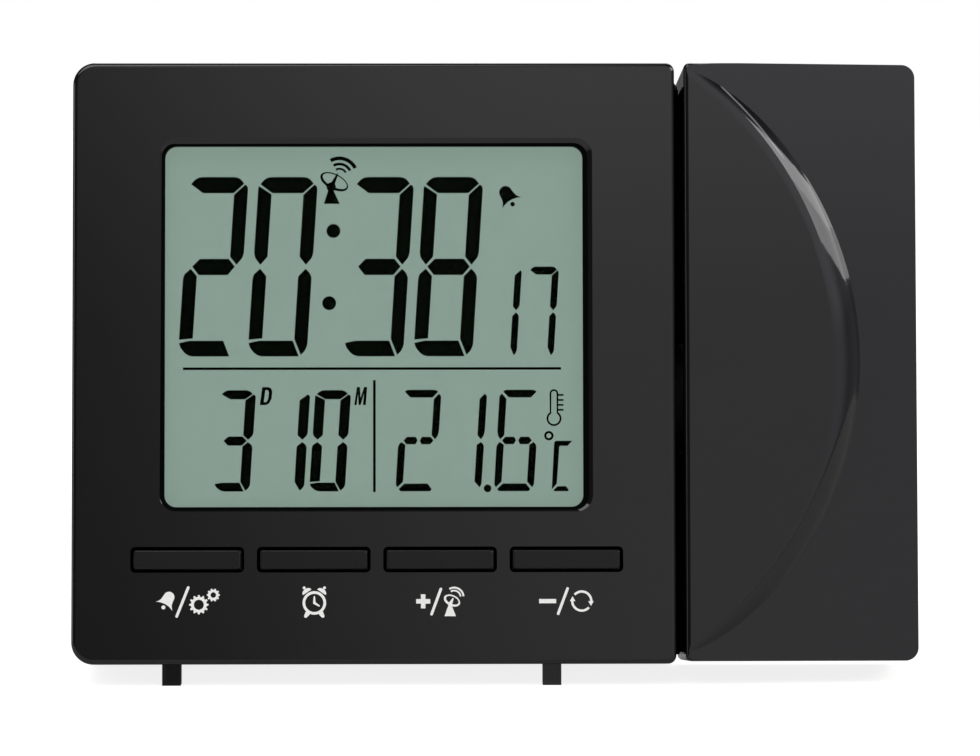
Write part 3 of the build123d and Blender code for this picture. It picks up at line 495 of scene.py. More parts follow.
def flat_piece(
    name: str, shapes: list[Shape], thickness: float, place: Matrix, finish: Finish
) -> Piece:
    """Make one thin flat piece from several shapes, which may overlap.

    Args:
        name: Name of the piece.
        shapes: Its shapes.
        thickness: Thickness in millimetres.
        place: Matrix that puts the drawing on the clock.
        finish: Its finish.

    Returns:
        The piece, its place in its mesh.
    """
    plates = [flat_shape(s, thickness * (1 - LAYER_STEP * i)) for i, s in enumerate(shapes)]
    for plate in plates:
        plate.select_set(True)
    if len(plates) > 1:
        bpy.ops.object.join()
    return seat(bpy.context.active_object, name, place, finish)


def settle(piece: Piece, body: str) -> None:
    """Let a finished piece ride on a body and report it.

    Args:
        piece: The finished piece.
        body: Body that carries it.
    """
    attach(piece, body)
    LOG.info("%s rides on %s: %d faces", piece.name, body, len(piece.data.polygons))


class Stroke(Enum):
    """Strokes that a digit of the display can drive."""

    TOP = "a"
    UPPER_RIGHT = "b"
    LOWER_RIGHT = "c"
    BOTTOM = "d"
    LOWER_LEFT = "e"
    UPPER_LEFT = "f"
    MIDDLE = "g"


DRIVEN = {
    "0": "abcdef", "1": "bc", "2": "abged", "3": "abgcd", "6": "afgedc", "7": "abc", "8": "abcdefg",
}

# Strokes of the broad digits, in shares of the digit's width and height.
BROAD_SHARES: dict[Stroke, Shape] = {
    Stroke.TOP: [[
        (0.032, 0.96), (0.088, 0.983), (0.14, 0.995), (0.203, 1.0), (0.76, 1.0), (0.83, 0.995),
        (0.88, 0.983), (0.93, 0.963), (0.76, 0.91), (0.243, 0.91),
    ]],
    Stroke.UPPER_RIGHT: [[
        (0.947, 0.958), (0.985, 0.948), (1.0, 0.932), (1.0, 0.574), (0.975, 0.547),
        (0.887, 0.51), (0.771, 0.555), (0.769, 0.9),
    ]],
    Stroke.LOWER_RIGHT: [[
        (0.888, 0.488), (0.963, 0.463), (0.997, 0.438), (0.998, 0.063), (0.96, 0.03),
        (0.897, 0.008), (0.771, 0.097), (0.769, 0.445),
    ]],
    Stroke.BOTTOM: [[
        (0.003, 0.074), (0.172, 0.087), (0.747, 0.087), (0.864, 0.0), (0.24, 0.0),
        (0.17, 0.006), (0.105, 0.02), (0.035, 0.047),
    ]],
    Stroke.LOWER_LEFT: [[
        (0.118, 0.488), (0.231, 0.447), (0.231, 0.1), (0.0, 0.093), (0.0, 0.432), (0.018, 0.457),
    ]],
    Stroke.UPPER_LEFT: [[
        (0.012, 0.949), (0.231, 0.903), (0.231, 0.555), (0.117, 0.51), (0.025, 0.547),
        (0.0, 0.576), (0.0, 0.94),
    ]],
    Stroke.MIDDLE: [[
        (0.142, 0.5), (0.262, 0.543), (0.75, 0.543), (0.861, 0.5), (0.75, 0.453), (0.262, 0.453),
    ]],
}


def bolder(shares: dict[Stroke, Shape], width: float, bold: float) -> dict[Stroke, Shape]:
    """Widen the upright strokes of a set of digits.

    Args:
        shares: Strokes in shares of the digit's width and height.
        width: Width share of its upright strokes.
        bold: Width share that they get.

    Returns:
        The same strokes, drawn wider inwards.
    """

    def moved(u: float) -> float:
        """Give a point's new place across the digit."""
        if width < u < 1 - width:
            return 0.5 + (u - 0.5) * (0.5 - bold) / (0.5 - width)
        return u * bold / width if u <= width else 1 - (1 - u) * bold / width

    return {
        part: [[(moved(u), v) for u, v in outline] for outline in shape]
        for part, shape in shares.items()
    }


# Share of a broad digit's width that its upright strokes take, and the same in the date.
BROAD_STROKE, DATE_STROKE = 0.231, 0.285
DATE_SHARES = bolder(BROAD_SHARES, BROAD_STROKE, DATE_STROKE)


def mirrored(shape: Shape) -> Shape:
    """Turn the strokes of one side into those of the other."""
    return [[(1 - u, v) for u, v in outline] for outline in shape]


SLIM_RIGHT = [[
    (0.943, 0.963), (1.0, 0.934), (1.0, 0.59), (0.975, 0.547), (0.913, 0.511), (0.82, 0.552),
    (0.82, 0.909),
]]
SLIM_LEFT = [[
    (0.078, 0.485), (0.183, 0.457), (0.183, 0.095), (0.048, 0.038), (0.004, 0.07), (0.0, 0.432),
    (0.02, 0.46),
]]
# Strokes of the slim digits, whose corners are all mitred and whose middle is in two halves.
SLIM_SHARES: dict[Stroke, Shape] = {
    Stroke.TOP: [[
        (0.088, 0.98), (0.12, 0.994), (0.18, 1.0), (0.8, 1.0), (0.87, 0.995), (0.92, 0.98),
        (0.787, 0.924), (0.235, 0.924),
    ]],
    Stroke.UPPER_RIGHT: SLIM_RIGHT,
    Stroke.LOWER_RIGHT: mirrored(SLIM_LEFT),
    Stroke.BOTTOM: [[
        (0.08, 0.021), (0.216, 0.076), (0.79, 0.076), (0.91, 0.021), (0.865, 0.0), (0.137, 0.0),
    ]],
    Stroke.LOWER_LEFT: SLIM_LEFT,
    Stroke.UPPER_LEFT: mirrored(SLIM_RIGHT),
    Stroke.MIDDLE: [
        [(0.13, 0.5), (0.207, 0.536), (0.43, 0.536), (0.48, 0.5), (0.43, 0.463), (0.207, 0.463)],
        [(0.533, 0.5), (0.583, 0.536), (0.8, 0.536), (0.875, 0.5), (0.8, 0.463), (0.583, 0.463)],
    ],
}


@dataclass(frozen=True)
class DigitRow:
    """Digits of one size that stand on one line.

    Attributes:
        width: Width of a digit, upright.
        height: Its height.
        foot: Line that the digits stand on.
        places: Each digit and its left edge at the foot.
        shares: Strokes in shares of width and height.
        slope: Lean to the right.
    """

    width: float
    height: float
    foot: float
    places: tuple[tuple[str, float], ...]
    shares: dict[Stroke, Shape]
    slope: float = 0.063

    def strokes(self) -> Shape:
        """Give the outlines of all driven strokes.

        Returns:
            The outlines, leaning and in their places.
        """
        outlines: Shape = []
        for digit, left in self.places:
            for part in DRIVEN[digit]:
                outlines += [self.lean(outline, left) for outline in self.shares[Stroke(part)]]
        return outlines

    def lean(self, outline: Outline, left: float) -> Outline:
        """Put one outline of shares in its place.

        Args:
            outline: Points in shares of width and height.
            left: Left edge of the digit at its foot.

        Returns:
            The points in millimetres.
        """
        scaled = [(u * self.width, v * self.height) for u, v in outline]
        return [(left + u + v * self.slope, self.foot + v) for u, v in scaled]


@dataclass(frozen=True)
class BellSign:
    """Tilted bell with its clapper.

    Attributes:
        u: Middle of its mouth.
        v: Middle of its mouth.
        mouth: Width of its mouth.
        turn: Tilt to the left in degrees.
    """

    u: float
    v: float
    mouth: float
    turn: float

    def shapes(self) -> list[Shape]:
        """Draw the bell.

        Returns:
            Its body and its clapper.
        """
        dome = arc(0.0, 0.55, 0.29, 0, 180)
        left = [(-0.3, 0.42), (-0.33, 0.25), (-0.4, 0.12), (-0.5, 0.0)]
        right = [(-u, v) for u, v in reversed(left)]
        hollow = arc(0.0, -0.9, 1.03, 116, 64, 9)
        parts = [dome + left + hollow + right, ring(0.0, -0.07, 0.105, 20)]
        return [[placed(part, self.u, self.v, self.turn, self.mouth)] for part in parts]


@dataclass(frozen=True)
class DishSign:
    """Dish aerial on a tower, with the waves that it takes in.

    Attributes:
        dish: Middle of the dish.
        axes: Half its length and half its width.
        tilt: Turn of the dish in degrees.
        line: Width of its rim.
        hollow_shift: Shift of its hollow, which makes the rim thicker below.
        foot: Left, right and height of the tower's foot.
        head: Left, right and height of the tower's head.
        hub: Middle and radius of the joint between tower and dish.
        feed: Both ends of the feed.
        waves: Middle of the waves.
        wave_sizes: Radius and width of each wave.
        wave_span: First and last angle of a wave in degrees.
    """

    dish: Point
    axes: Point
    tilt: float
    line: float
    hollow_shift: Point
    foot: Place
    head: Place
    hub: Place
    feed: tuple[Point, Point]
    waves: Point
    wave_sizes: tuple[Point, ...]
    wave_span: Point = (26.0, 120.0)

    FEED_SHARES = (2.2, 0.8)

    def oval(self, inset: float) -> Outline:
        """Give the dish's rim, drawn in by an inset."""
        half_length, half_width = (axis - inset for axis in self.axes)
        middle = [place + bool(inset) * shift for place, shift in zip(self.dish, self.hollow_shift)]
        circle = ring(0.0, 0.0, 1.0)
        return placed([(u * half_length, v * half_width) for u, v in circle], *middle, self.tilt)

    def shapes(self) -> list[Shape]:
        """Draw the dish, its tower and its waves.

        Returns:
            The shapes, which overlap where they join.
        """
        left, right, low = self.foot
        head_left, head_right, high = self.head
        tower = [(left, low), (right, low), (head_right, high), (head_left, high)]
        parts = [[tower], [self.oval(0.0), self.oval(self.line)], [ring(*self.hub)]]
        parts.append([rod(*self.feed, *[self.line * share for share in self.FEED_SHARES])])
        return parts + [[band(*self.waves, *size, *self.wave_span)] for size in self.wave_sizes]


@dataclass
class SubAssembly:
    """Pieces that belong together: the CAD nodes that it dresses and the pieces that it adds."""

    finishes: Dressing = ()

    def dress(self, nodes: dict[str, Piece]) -> None:
        """Put each finish on its nodes, which keep their CAD meshes.

        Args:
            nodes: CAD nodes by name.
        """
        for finish, names in self.finishes:
            material = finish.make()
            for name in names:
                slots = nodes[name].material_slots
                for slot in slots:
                    slot.material = material
                if not slots:
                    nodes[name].data.materials.append(material)
                LOG.info("%s: %s", name, finish.name)

    def build(self, face: FaceFrame) -> None:
        """Add the pieces that the CAD nodes don't carry.

        Args:
            face: Places on the clock.
        """


@dataclass
class Display(SubAssembly):
    """Liquid crystal display: window, glasses, film, digits, lines and pictograms."""

    finishes: Dressing = (
        (COATED_ACRYLIC, ("display_window",)),
        (DISPLAY_GLASS, ("lcd_front_glass", "lcd_rear_glass")),
        (DIFFUSER, ("backlight_plate",)),
        (INNER_PLASTIC, ("lcd_frame",)),
        (CONTACT_RUBBER, ("zebra_strip",)),
    )
    film_size: Place = (73.4, 62.0, 0.05)
    film_middle: float = 56.5
    film_depth: float = 3.17
    film_rim: float = 0.5
    film_rim_steps: int = 3
    mark: float = 0.02
    mark_depth: float = 3.13
    mark_shift: Point = (-0.165, 0.05)
    slot: str = "display_glass"
    time: DigitRow = DigitRow(
        9.87, 30.0, 51.12, (("2", -32.5), ("0", -20.93), ("3", -4.87), ("8", 6.68)), BROAD_SHARES
    )
    seconds: DigitRow = DigitRow(4.94, 14.94, 51.16, (("1", 18.96), ("7", 25.15)), BROAD_SHARES)
    date: DigitRow = DigitRow(
        5.95, 16.86, 28.62, (("3", -26.47), ("1", -17.45), ("0", -10.66)), DATE_SHARES
    )
    temperature: DigitRow = DigitRow(
        6.68, 16.9, 28.62, (("2", 3.65), ("1", 11.28), ("6", 20.03)), SLIM_SHARES
    )
    colon: tuple[Place, ...] = ((-6.63, 72.08, 1.16), (-7.33, 60.0, 1.16))
    decimal_point: Place = (19.02, 29.1, 0.64)
    level_line: tuple[Point, Point, float] = ((-31.65, 49.07), (31.3, 49.07), 0.43)
    upright_line: tuple[Point, Point, float] = ((0.2, 28.5), (0.2, 47.15), 0.44)
    bell: BellSign = BellSign(23.15, 76.78, 3.7, 30.7)
    dish: DishSign = DishSign(
        (-6.5, 80.33), (2.53, 1.3), -27.0, 0.33, (0.1, 0.1),
        (-8.23, -5.57, 76.62), (-7.5, -6.63, 78.9), (-7.0, 79.45, 0.78),
        ((-6.8, 79.8), (-5.97, 81.6)),
        (-5.63, 81.33), ((1.17, 0.36), (1.97, 0.46), (2.93, 0.62)),
    )

    def build(self, face: FaceFrame) -> None:
        """Make the film and everything that it shows."""
        settle(self.make_film(face), "case")
        along, up = self.mark_shift
        place = face.matrix(up, -self.mark_depth, along)
        degrees = self.temperature.strokes() + [ring(*self.decimal_point)]
        marks = {
            "display_time": [self.time.strokes() + [ring(*dot) for dot in self.colon]],
            "display_seconds": [self.seconds.strokes()],
            "display_date": [self.date.strokes()] + self.date_letters(),
            "display_temperature": [degrees] + self.unit(),
            "display_lines": [[bar(*self.level_line)], [bar(*self.upright_line)]],
            "display_radio_sign": self.dish.shapes(),
            "display_bell_sign": self.bell.shapes(),
            "display_thermometer_sign": self.thermometer(),
        }
        for name, shapes in marks.items():
            settle(flat_piece(name, shapes, self.mark, place, DISPLAY_INK), "case")

    def make_film(self, face: FaceFrame) -> Piece:
        """Make the polariser film that covers the front glass; its glow is painted light.

        Args:
            face: Places on the clock.

        Returns:
            The film.
        """
        bpy.ops.object.select_all(action="DESELECT")
        bpy.ops.mesh.primitive_cube_add(size=1.0)
        film = bpy.context.active_object
        film.scale = self.film_size
        bpy.ops.object.transform_apply(scale=True)
        rim = film.modifiers.new("rim", "BEVEL")
        rim.width, rim.segments = self.film_rim, self.film_rim_steps
        rim.affect = "EDGES"
        bpy.ops.object.modifier_apply(modifier=rim.name)
        place = face.matrix(self.film_middle, -self.film_depth)
        return seat(film, "display_film", place, POLARISER_PAINTED_GLOW)

    def date_letters(self) -> list[Shape]:
        """Give the small letters for day and month."""
        day = [
            (-18.87, 43.0), (-18.46, 46.0), (-17.4, 46.0), (-16.98, 45.78), (-16.79, 45.25),
            (-16.9, 44.05), (-17.34, 43.25), (-17.9, 43.0),
        ]
        hollow = [
            (-18.2, 43.5), (-17.93, 45.5), (-17.54, 45.5), (-17.36, 45.15), (-17.45, 44.1),
            (-17.76, 43.5),
        ]
        month = [
            (-3.15, 43.0), (-2.7, 46.0), (-2.2, 46.0), (-2.1, 44.2), (-1.5, 46.0), (-1.0, 46.0),
            (-1.22, 43.0), (-1.72, 43.0), (-1.52, 44.95), (-2.08, 43.0), (-2.43, 43.0),
            (-2.52, 44.85), (-2.76, 43.0),
        ]
        return [[day, hollow], [month]]

    def unit(self) -> list[Shape]:
        """Give the sign for degrees and the letter beside it."""
        upper = [
            (30.1, 36.45), (30.2, 36.85), (30.49, 37.0), (33.15, 37.0), (32.35, 36.15),
            (31.1, 36.15), (30.98, 36.0), (30.55, 29.86), (29.7, 28.9),
        ]
        lower = [
            (29.98, 28.8), (30.68, 29.44), (32.07, 29.44), (32.55, 28.8), (32.35, 28.6),
            (30.13, 28.6),
        ]
        degree = [ring(29.24, 37.85, radius) for radius in (0.79, 0.4)]
        return [degree, [upper], [lower]]

    def thermometer(self) -> list[Shape]:
        """Give the hollow thermometer with its scale."""
        top, bulb = (30.1, 44.87), (30.1, 40.71)
        outer = arc(*top, 0.73, 0, 180, 12) + arc(*bulb, 1.25, 124, 416, 30)
        inner = arc(*top, 0.43, 0, 180, 12) + arc(*bulb, 0.93, 119, 421, 30)
        ticks = [[bar((30.75, v), (31.7, v), 0.3)] for v in (42.16, 42.98, 43.8, 44.64)]
        return [[outer, inner]] + ticks


@dataclass
class KeyRow(SubAssembly):
    """Keys under the display, what they press, and the white signs printed below them."""

    finishes: Dressing = (
        (KEY_SATIN, ("set_button", "alarm_button", "plus_button", "minus_button")),
        (STEM_PLASTIC, ("set_stem", "alarm_stem", "plus_stem", "minus_stem")),
        (INNER_PLASTIC, ("key_switches",)),
    )
    places: tuple[tuple[str, float], ...] = (
        ("set", -30.85), ("alarm", -9.95), ("plus", 10.95), ("minus", 31.85)
    )
    row: float = 17.3
    # Black foam round each key behind the face: painted shade that keeps the slot gaps dark.
    slot_shade_size: Point = (19.9, 5.4)
    cap_size: Point = (17.8, 3.25)
    slot_shade: float = 0.06
    slot_shade_depth: float = 2.3
    ink: float = 0.02
    ink_out: float = 0.01
    stroke: float = 0.45
    bell: BellSign = BellSign(-34.66, 9.64, 3.1, -28.5)
    dish: DishSign = DishSign(
        (12.9, 10.5), (1.42, 0.9), -25.0, 0.3, (0.05, 0.05),
        (11.66, 13.55, 7.92), (12.3, 12.85, 9.7), (12.58, 9.85, 0.3),
        ((12.6, 9.9), (13.05, 10.8)),
        (13.27, 11.1), ((1.05, 0.28), (1.54, 0.3)), (4.0, 122.0),
    )
    wheels: tuple[tuple[float, float, float, float, int], ...] = (
        (-28.92, 9.88, 1.6, 0.83, 12), (-26.53, 11.48, 1.08, 0.46, 10)
    )
    set_stroke: tuple[Point, Point] = ((-32.57, 7.96), (-30.68, 12.71))
    clock: Point = (-9.85, 10.15)
    plus: Point = (8.14, 10.38)
    plus_stroke: tuple[Point, Point] = ((9.52, 8.25), (11.06, 12.4))
    minus: tuple[Point, Point, float] = ((27.31, 10.38), (30.13, 10.38), 0.7)
    minus_stroke: tuple[Point, Point] = ((30.46, 8.3), (32.02, 12.45))
    turning: Point = (34.37, 10.38)

    # Spans of a tooth's tip and of the root after it in shares of the pitch, and the root's radius.
    TIP = (-0.17, 0.17)
    ROOT = (0.28, 0.72)
    ROOT_RADIUS = 0.82

    def build(self, face: FaceFrame) -> None:
        """Lay the black foam behind the face as painted shade in the key slots, and print the
        signs.
        """
        behind = face.matrix(self.row, -self.slot_shade_depth)
        for key, u in self.places:
            loop = [self.box(u, *self.slot_shade_size), self.box(u, *self.cap_size)]
            piece = flat_piece(f"{key}_gasket", [loop], self.slot_shade, behind, SLOT_SHADE_FOAM)
            settle(piece, f"{key}_key")
        place = face.matrix(out=self.ink_out)
        signs = {
            "sign_set": self.set_sign(),
            "sign_alarm": self.alarm_sign(),
            "sign_plus": self.plus_sign(),
            "sign_minus": self.minus_sign(),
        }
        for name, shapes in signs.items():
            settle(flat_piece(name, shapes, self.ink, place, PRINTED_INK), "case")

    def box(self, u: float, length: float, width: float) -> Outline:
        """Give a rectangle about a place in the row."""
        left, right, half = u - length / 2, u + length / 2, width / 2
        return [(left, -half), (right, -half), (right, half), (left, half)]

    def gear(self, u: float, v: float, radius: float, hole: float, teeth: int) -> Shape:
        """Draw a toothed wheel.

        Args:
            u: Its middle.
            v: Its middle.
            radius: Radius over the teeth.
            hole: Radius of the hole.
            teeth: Number of teeth.

        Returns:
            Rim and hole.
        """
        rim: Outline = []
        pitch = 360.0 / teeth
        for tooth in range(teeth):
            for reach, share in ((radius, self.TIP), (radius * self.ROOT_RADIUS, self.ROOT)):
                rim += arc(u, v, reach, pitch * (tooth + share[0]), pitch * (tooth + share[1]), 3)
        return [rim, ring(u, v, hole, 28)]

    def set_sign(self) -> list[Shape]:
        """Give the bell, the stroke and the two wheels."""
        wheels = [self.gear(*wheel) for wheel in self.wheels]
        return self.bell.shapes() + [[rod(*self.set_stroke, self.stroke)]] + wheels

    def alarm_sign(self) -> list[Shape]:
        """Give the alarm clock with its two bells."""
        parts: list[Outline] = []
        dome = [(u, 0.75 * v) for u, v in arc(0, 0, 0.84, 0, 180)]
        for side in (-1, 1):
            top, foot = 90 - side * 34, 270 + side * 33
            parts.append(placed(dome, *point_at(2.12, top), top - 90))
            parts.append(ring(*point_at(3.0, top), 0.24, 16))
            parts.append(rod(point_at(2.1, foot), point_at(2.6, foot), 0.78, 0.55))
        parts += [rod((0, 0), (0, 1.02), 0.44, 0.22), rod((0, 0), (0.8, -0.5), 0.44, 0.22)]
        dial = [ring(*self.clock, radius) for radius in (1.95, 1.5)]
        return [dial] + [[placed(part, *self.clock)] for part in parts]

    def plus_sign(self) -> list[Shape]:
        """Give the plus, the stroke and the dish."""
        half, thick = 1.16, 0.37
        corner = [(half, -thick), (half, thick), (thick, thick)]
        plus = [p for turn in (0, 90, 180, 270) for p in placed(corner, *self.plus, turn)]
        return [[plus], [rod(*self.plus_stroke, self.stroke)]] + self.dish.shapes()

    def minus_sign(self) -> list[Shape]:
        """Give the minus, the stroke and the two turning arrows."""
        shapes = [[bar(*self.minus)], [rod(*self.minus_stroke, self.stroke)]]
        head = [(1.06, 0.0), (1.52, -0.8), (1.98, 0.0)]
        for turn in (0, 180):
            arrow = [band(0, 0, 1.58, 0.38, 0, 138), head]
            shapes += [[placed(part, *self.turning, turn)] for part in arrow]
        return shapes


@dataclass
class Case(SubAssembly):
    """Covers, feet and screws, with painted shade: black paint on the display's edge and black felt
    beside the arm.
    """

    finishes: Dressing = (
        (CASE_GLOSS, ("front_cover", "rear_cover", "foot_left", "foot_right")),
        (PLATED_STEEL, ("case_screws",)),
    )
    opening: Point = (69.4, 60.0)
    opening_middle: float = 56.0
    opening_radius: float = 2.0
    slope_left: Point = (0.8, 0.8)
    slope_right: Point = (1.6, 1.4)
    slope_depth: float = 0.7
    corner_steps: int = 16
    # How far up the slope the painted shade reaches on the left, right, bottom and top; it reaches
    # furthest where the slope should look darkest.
    shade_paint_shares: tuple[float, float, float, float] = (0.95, 0.6, 0.75, 0.3)
    paint: float = 0.04
    # Black felt on the case's side in the gap beside the arm: painted shade that keeps the gap
    # dark.
    felt: float = 0.15
    shade_felt_u: float = 51.32
    shade_felt_depths: Point = (12.3, 27.5)
    shade_felt_heights: Point = (1.8, 97.0)
    shade_felt_hole: float = 9.6

    def build(self, face: FaceFrame) -> None:
        """Lay the painted shade: black paint on the display's edge and black felt on the case's
        side, round the swivel.
        """
        settle(self.make_shade_paint(face), "case")
        (front, back), (low, high) = self.shade_felt_depths, self.shade_felt_heights
        reach = math.degrees(math.acos((front - face.SWIVEL_DEPTH) / self.shade_felt_hole))
        hole = arc(face.SWIVEL_DEPTH, face.SWIVEL_V, self.shade_felt_hole, reach, -reach, 40)
        outline = [(front, low), (back, low), (back, high), (front, high)] + hole
        side = face.side_matrix(self.shade_felt_u)
        strip = flat_piece("gap_shade_felt", [[outline]], self.felt, side, GAP_SHADE_FELT)
        settle(strip, "case")

    def make_shade_paint(self, face: FaceFrame) -> Piece:
        """Make the coat of black paint, painted shade on the slope, which is wider on the right and
        at the top.

        Args:
            face: Places on the clock.

        Returns:
            The coat.
        """
        size = [o + a + b for o, a, b in zip(self.opening, self.slope_left, self.slope_right)]
        shift = [(b - a) / 2 for a, b in zip(self.slope_left, self.slope_right)]
        inset = min(self.slope_left)
        bpy.ops.object.select_all(action="DESELECT")
        bpy.ops.mesh.primitive_plane_add(size=1.0)
        coat = bpy.context.active_object
        bpy.ops.object.mode_set(mode="EDIT")
        bpy.ops.mesh.select_all(action="SELECT")
        bpy.ops.transform.resize(value=(*size, 1.0))
        radius = self.opening_radius + inset
        bpy.ops.mesh.bevel(offset=radius, segments=self.corner_steps, affect="VERTICES")
        bpy.ops.mesh.select_all(action="SELECT")
        bpy.ops.mesh.inset(thickness=inset, depth=-self.slope_depth)
        fit = [o / (s - 2 * inset) for o, s in zip(self.opening, size)]
        bpy.ops.transform.resize(value=(*fit, 1.0))
        bpy.ops.transform.translate(value=(-shift[0], -shift[1], 0.0))
        bpy.ops.mesh.delete(type="FACE")
        bpy.ops.object.mode_set(mode="OBJECT")
        self.draw_in(coat.data)
        layer = coat.modifiers.new("layer", "SOLIDIFY")
        layer.thickness, layer.offset = self.paint, 0.0
        bpy.ops.object.modifier_apply(modifier=layer.name)
        place = face.matrix(self.opening_middle + shift[1], 0.0, shift[0])
        return seat(coat, "bezel_shade_paint", place, BEZEL_SHADE_PAINT)

    def draw_in(self, coat: bpy.types.Mesh) -> None:
        """Draw the coat's outer edge in to where the paint ends on each side.

        Args:
            coat: Mesh that covers the whole slope.
        """
        left, right, bottom, top = self.shade_paint_shares
        pairs = []
        for edge in coat.edges:
            ends = [coat.vertices[i] for i in edge.vertices]
            inner, outer = sorted(ends, key=lambda end: end.co.z)
            if outer.co.z - inner.co.z > self.slope_depth / 2:
                pairs.append((inner, outer))
        for inner, outer in pairs:
            step = outer.co - inner.co
            across, along = abs(step.x), abs(step.y)
            reach = across * (right if step.x > 0 else left)
            reach += along * (top if step.y > 0 else bottom)
            outer.co = inner.co + step * reach / (across + along)


@dataclass
class SnoozeBar(SubAssembly):
    """Bar on the top with its stem and switch."""

    finishes: Dressing = (
        (KEY_SATIN, ("snooze_bar",)),
        (STEM_PLASTIC, ("snooze_stem",)),
        (INNER_PLASTIC, ("snooze_switch",)),
    )


@dataclass
class PowerSupply(SubAssembly):
    """Cells, their contacts and door, and the power inlet."""

    finishes: Dressing = (
        (CASE_GLOSS, ("battery_door",)),
        (CELL_WRAP, ("battery_upper", "battery_lower")),
        (PLATED_STEEL, ("battery_contacts",)),
        (INNER_PLASTIC, ("dc_jack",)),
    )


@dataclass
class Electronics(SubAssembly):
    """Main board and what stands on or near it."""

    finishes: Dressing = (
        (BOARD_GREEN, ("main_board",)),
        (PLATED_STEEL, ("board_screws",)),
        (INNER_PLASTIC, ("board_header", "buzzer")),
        (SENSOR_BEAD, ("temperature_sensor",)),
        (FERRITE, ("antenna_rod",)),
        (COPPER_COIL, ("antenna_coil",)),
    )


@dataclass
class ProjectorArm(SubAssembly):
    """Arm that swivels beside the case, with the projector in it."""

    finishes: Dressing = (
        (CASE_GLOSS, ("arm_front_shell", "arm_rear_shell")),
        # The swivel's darker, duller acetal is painted shade in the gap beside the arm.
        (HUB_SHADED_ACETAL, ("swivel_hub",)),
        (KEY_SATIN, ("focus_wheel",)),
        (LENS_ACRYLIC, ("condenser_lens", "projector_lens")),
        (DISPLAY_GLASS, ("projector_slide",)),
        (INNER_PLASTIC, ("projector_tube", "lens_barrel")),
        (BOARD_GREEN, ("led_board",)),
        (PLATED_STEEL, ("arm_screws",)),
        (LAMP_RESIN, ("projector_led",)),
        (WIRE_SLEEVE, ("projector_wires",)),
    )


@dataclass(frozen=True)
class SoftBox:
    """One soft lamp.

    Attributes:
        name: Its name.
        at: Its place in metres.
        size: Its width and height in metres.
        watts: Its power.
        roll: Turn in its own plane, in degrees.
    """

    name: str
    at: Place
    size: Point
    watts: float
    roll: float = 0.0

    def hang(self, target: Vector) -> None:
        """Hang the lamp so that it faces the clock.

        Args:
            target: What it faces.
        """
        bpy.ops.object.light_add(type="AREA", location=self.at)
        lamp = bpy.context.active_object
        lamp.name = lamp.data.name = f"softbox_{self.name}"
        lamp.data.shape = "RECTANGLE"
        lamp.data.size, lamp.data.size_y = self.size
        lamp.data.energy = self.watts
        facing = (target - Vector(self.at)).to_track_quat("-Z", "Y")
        roll = Quaternion((0.0, 0.0, 1.0), math.radians(self.roll))
        lamp.rotation_euler = (facing @ roll).to_euler()


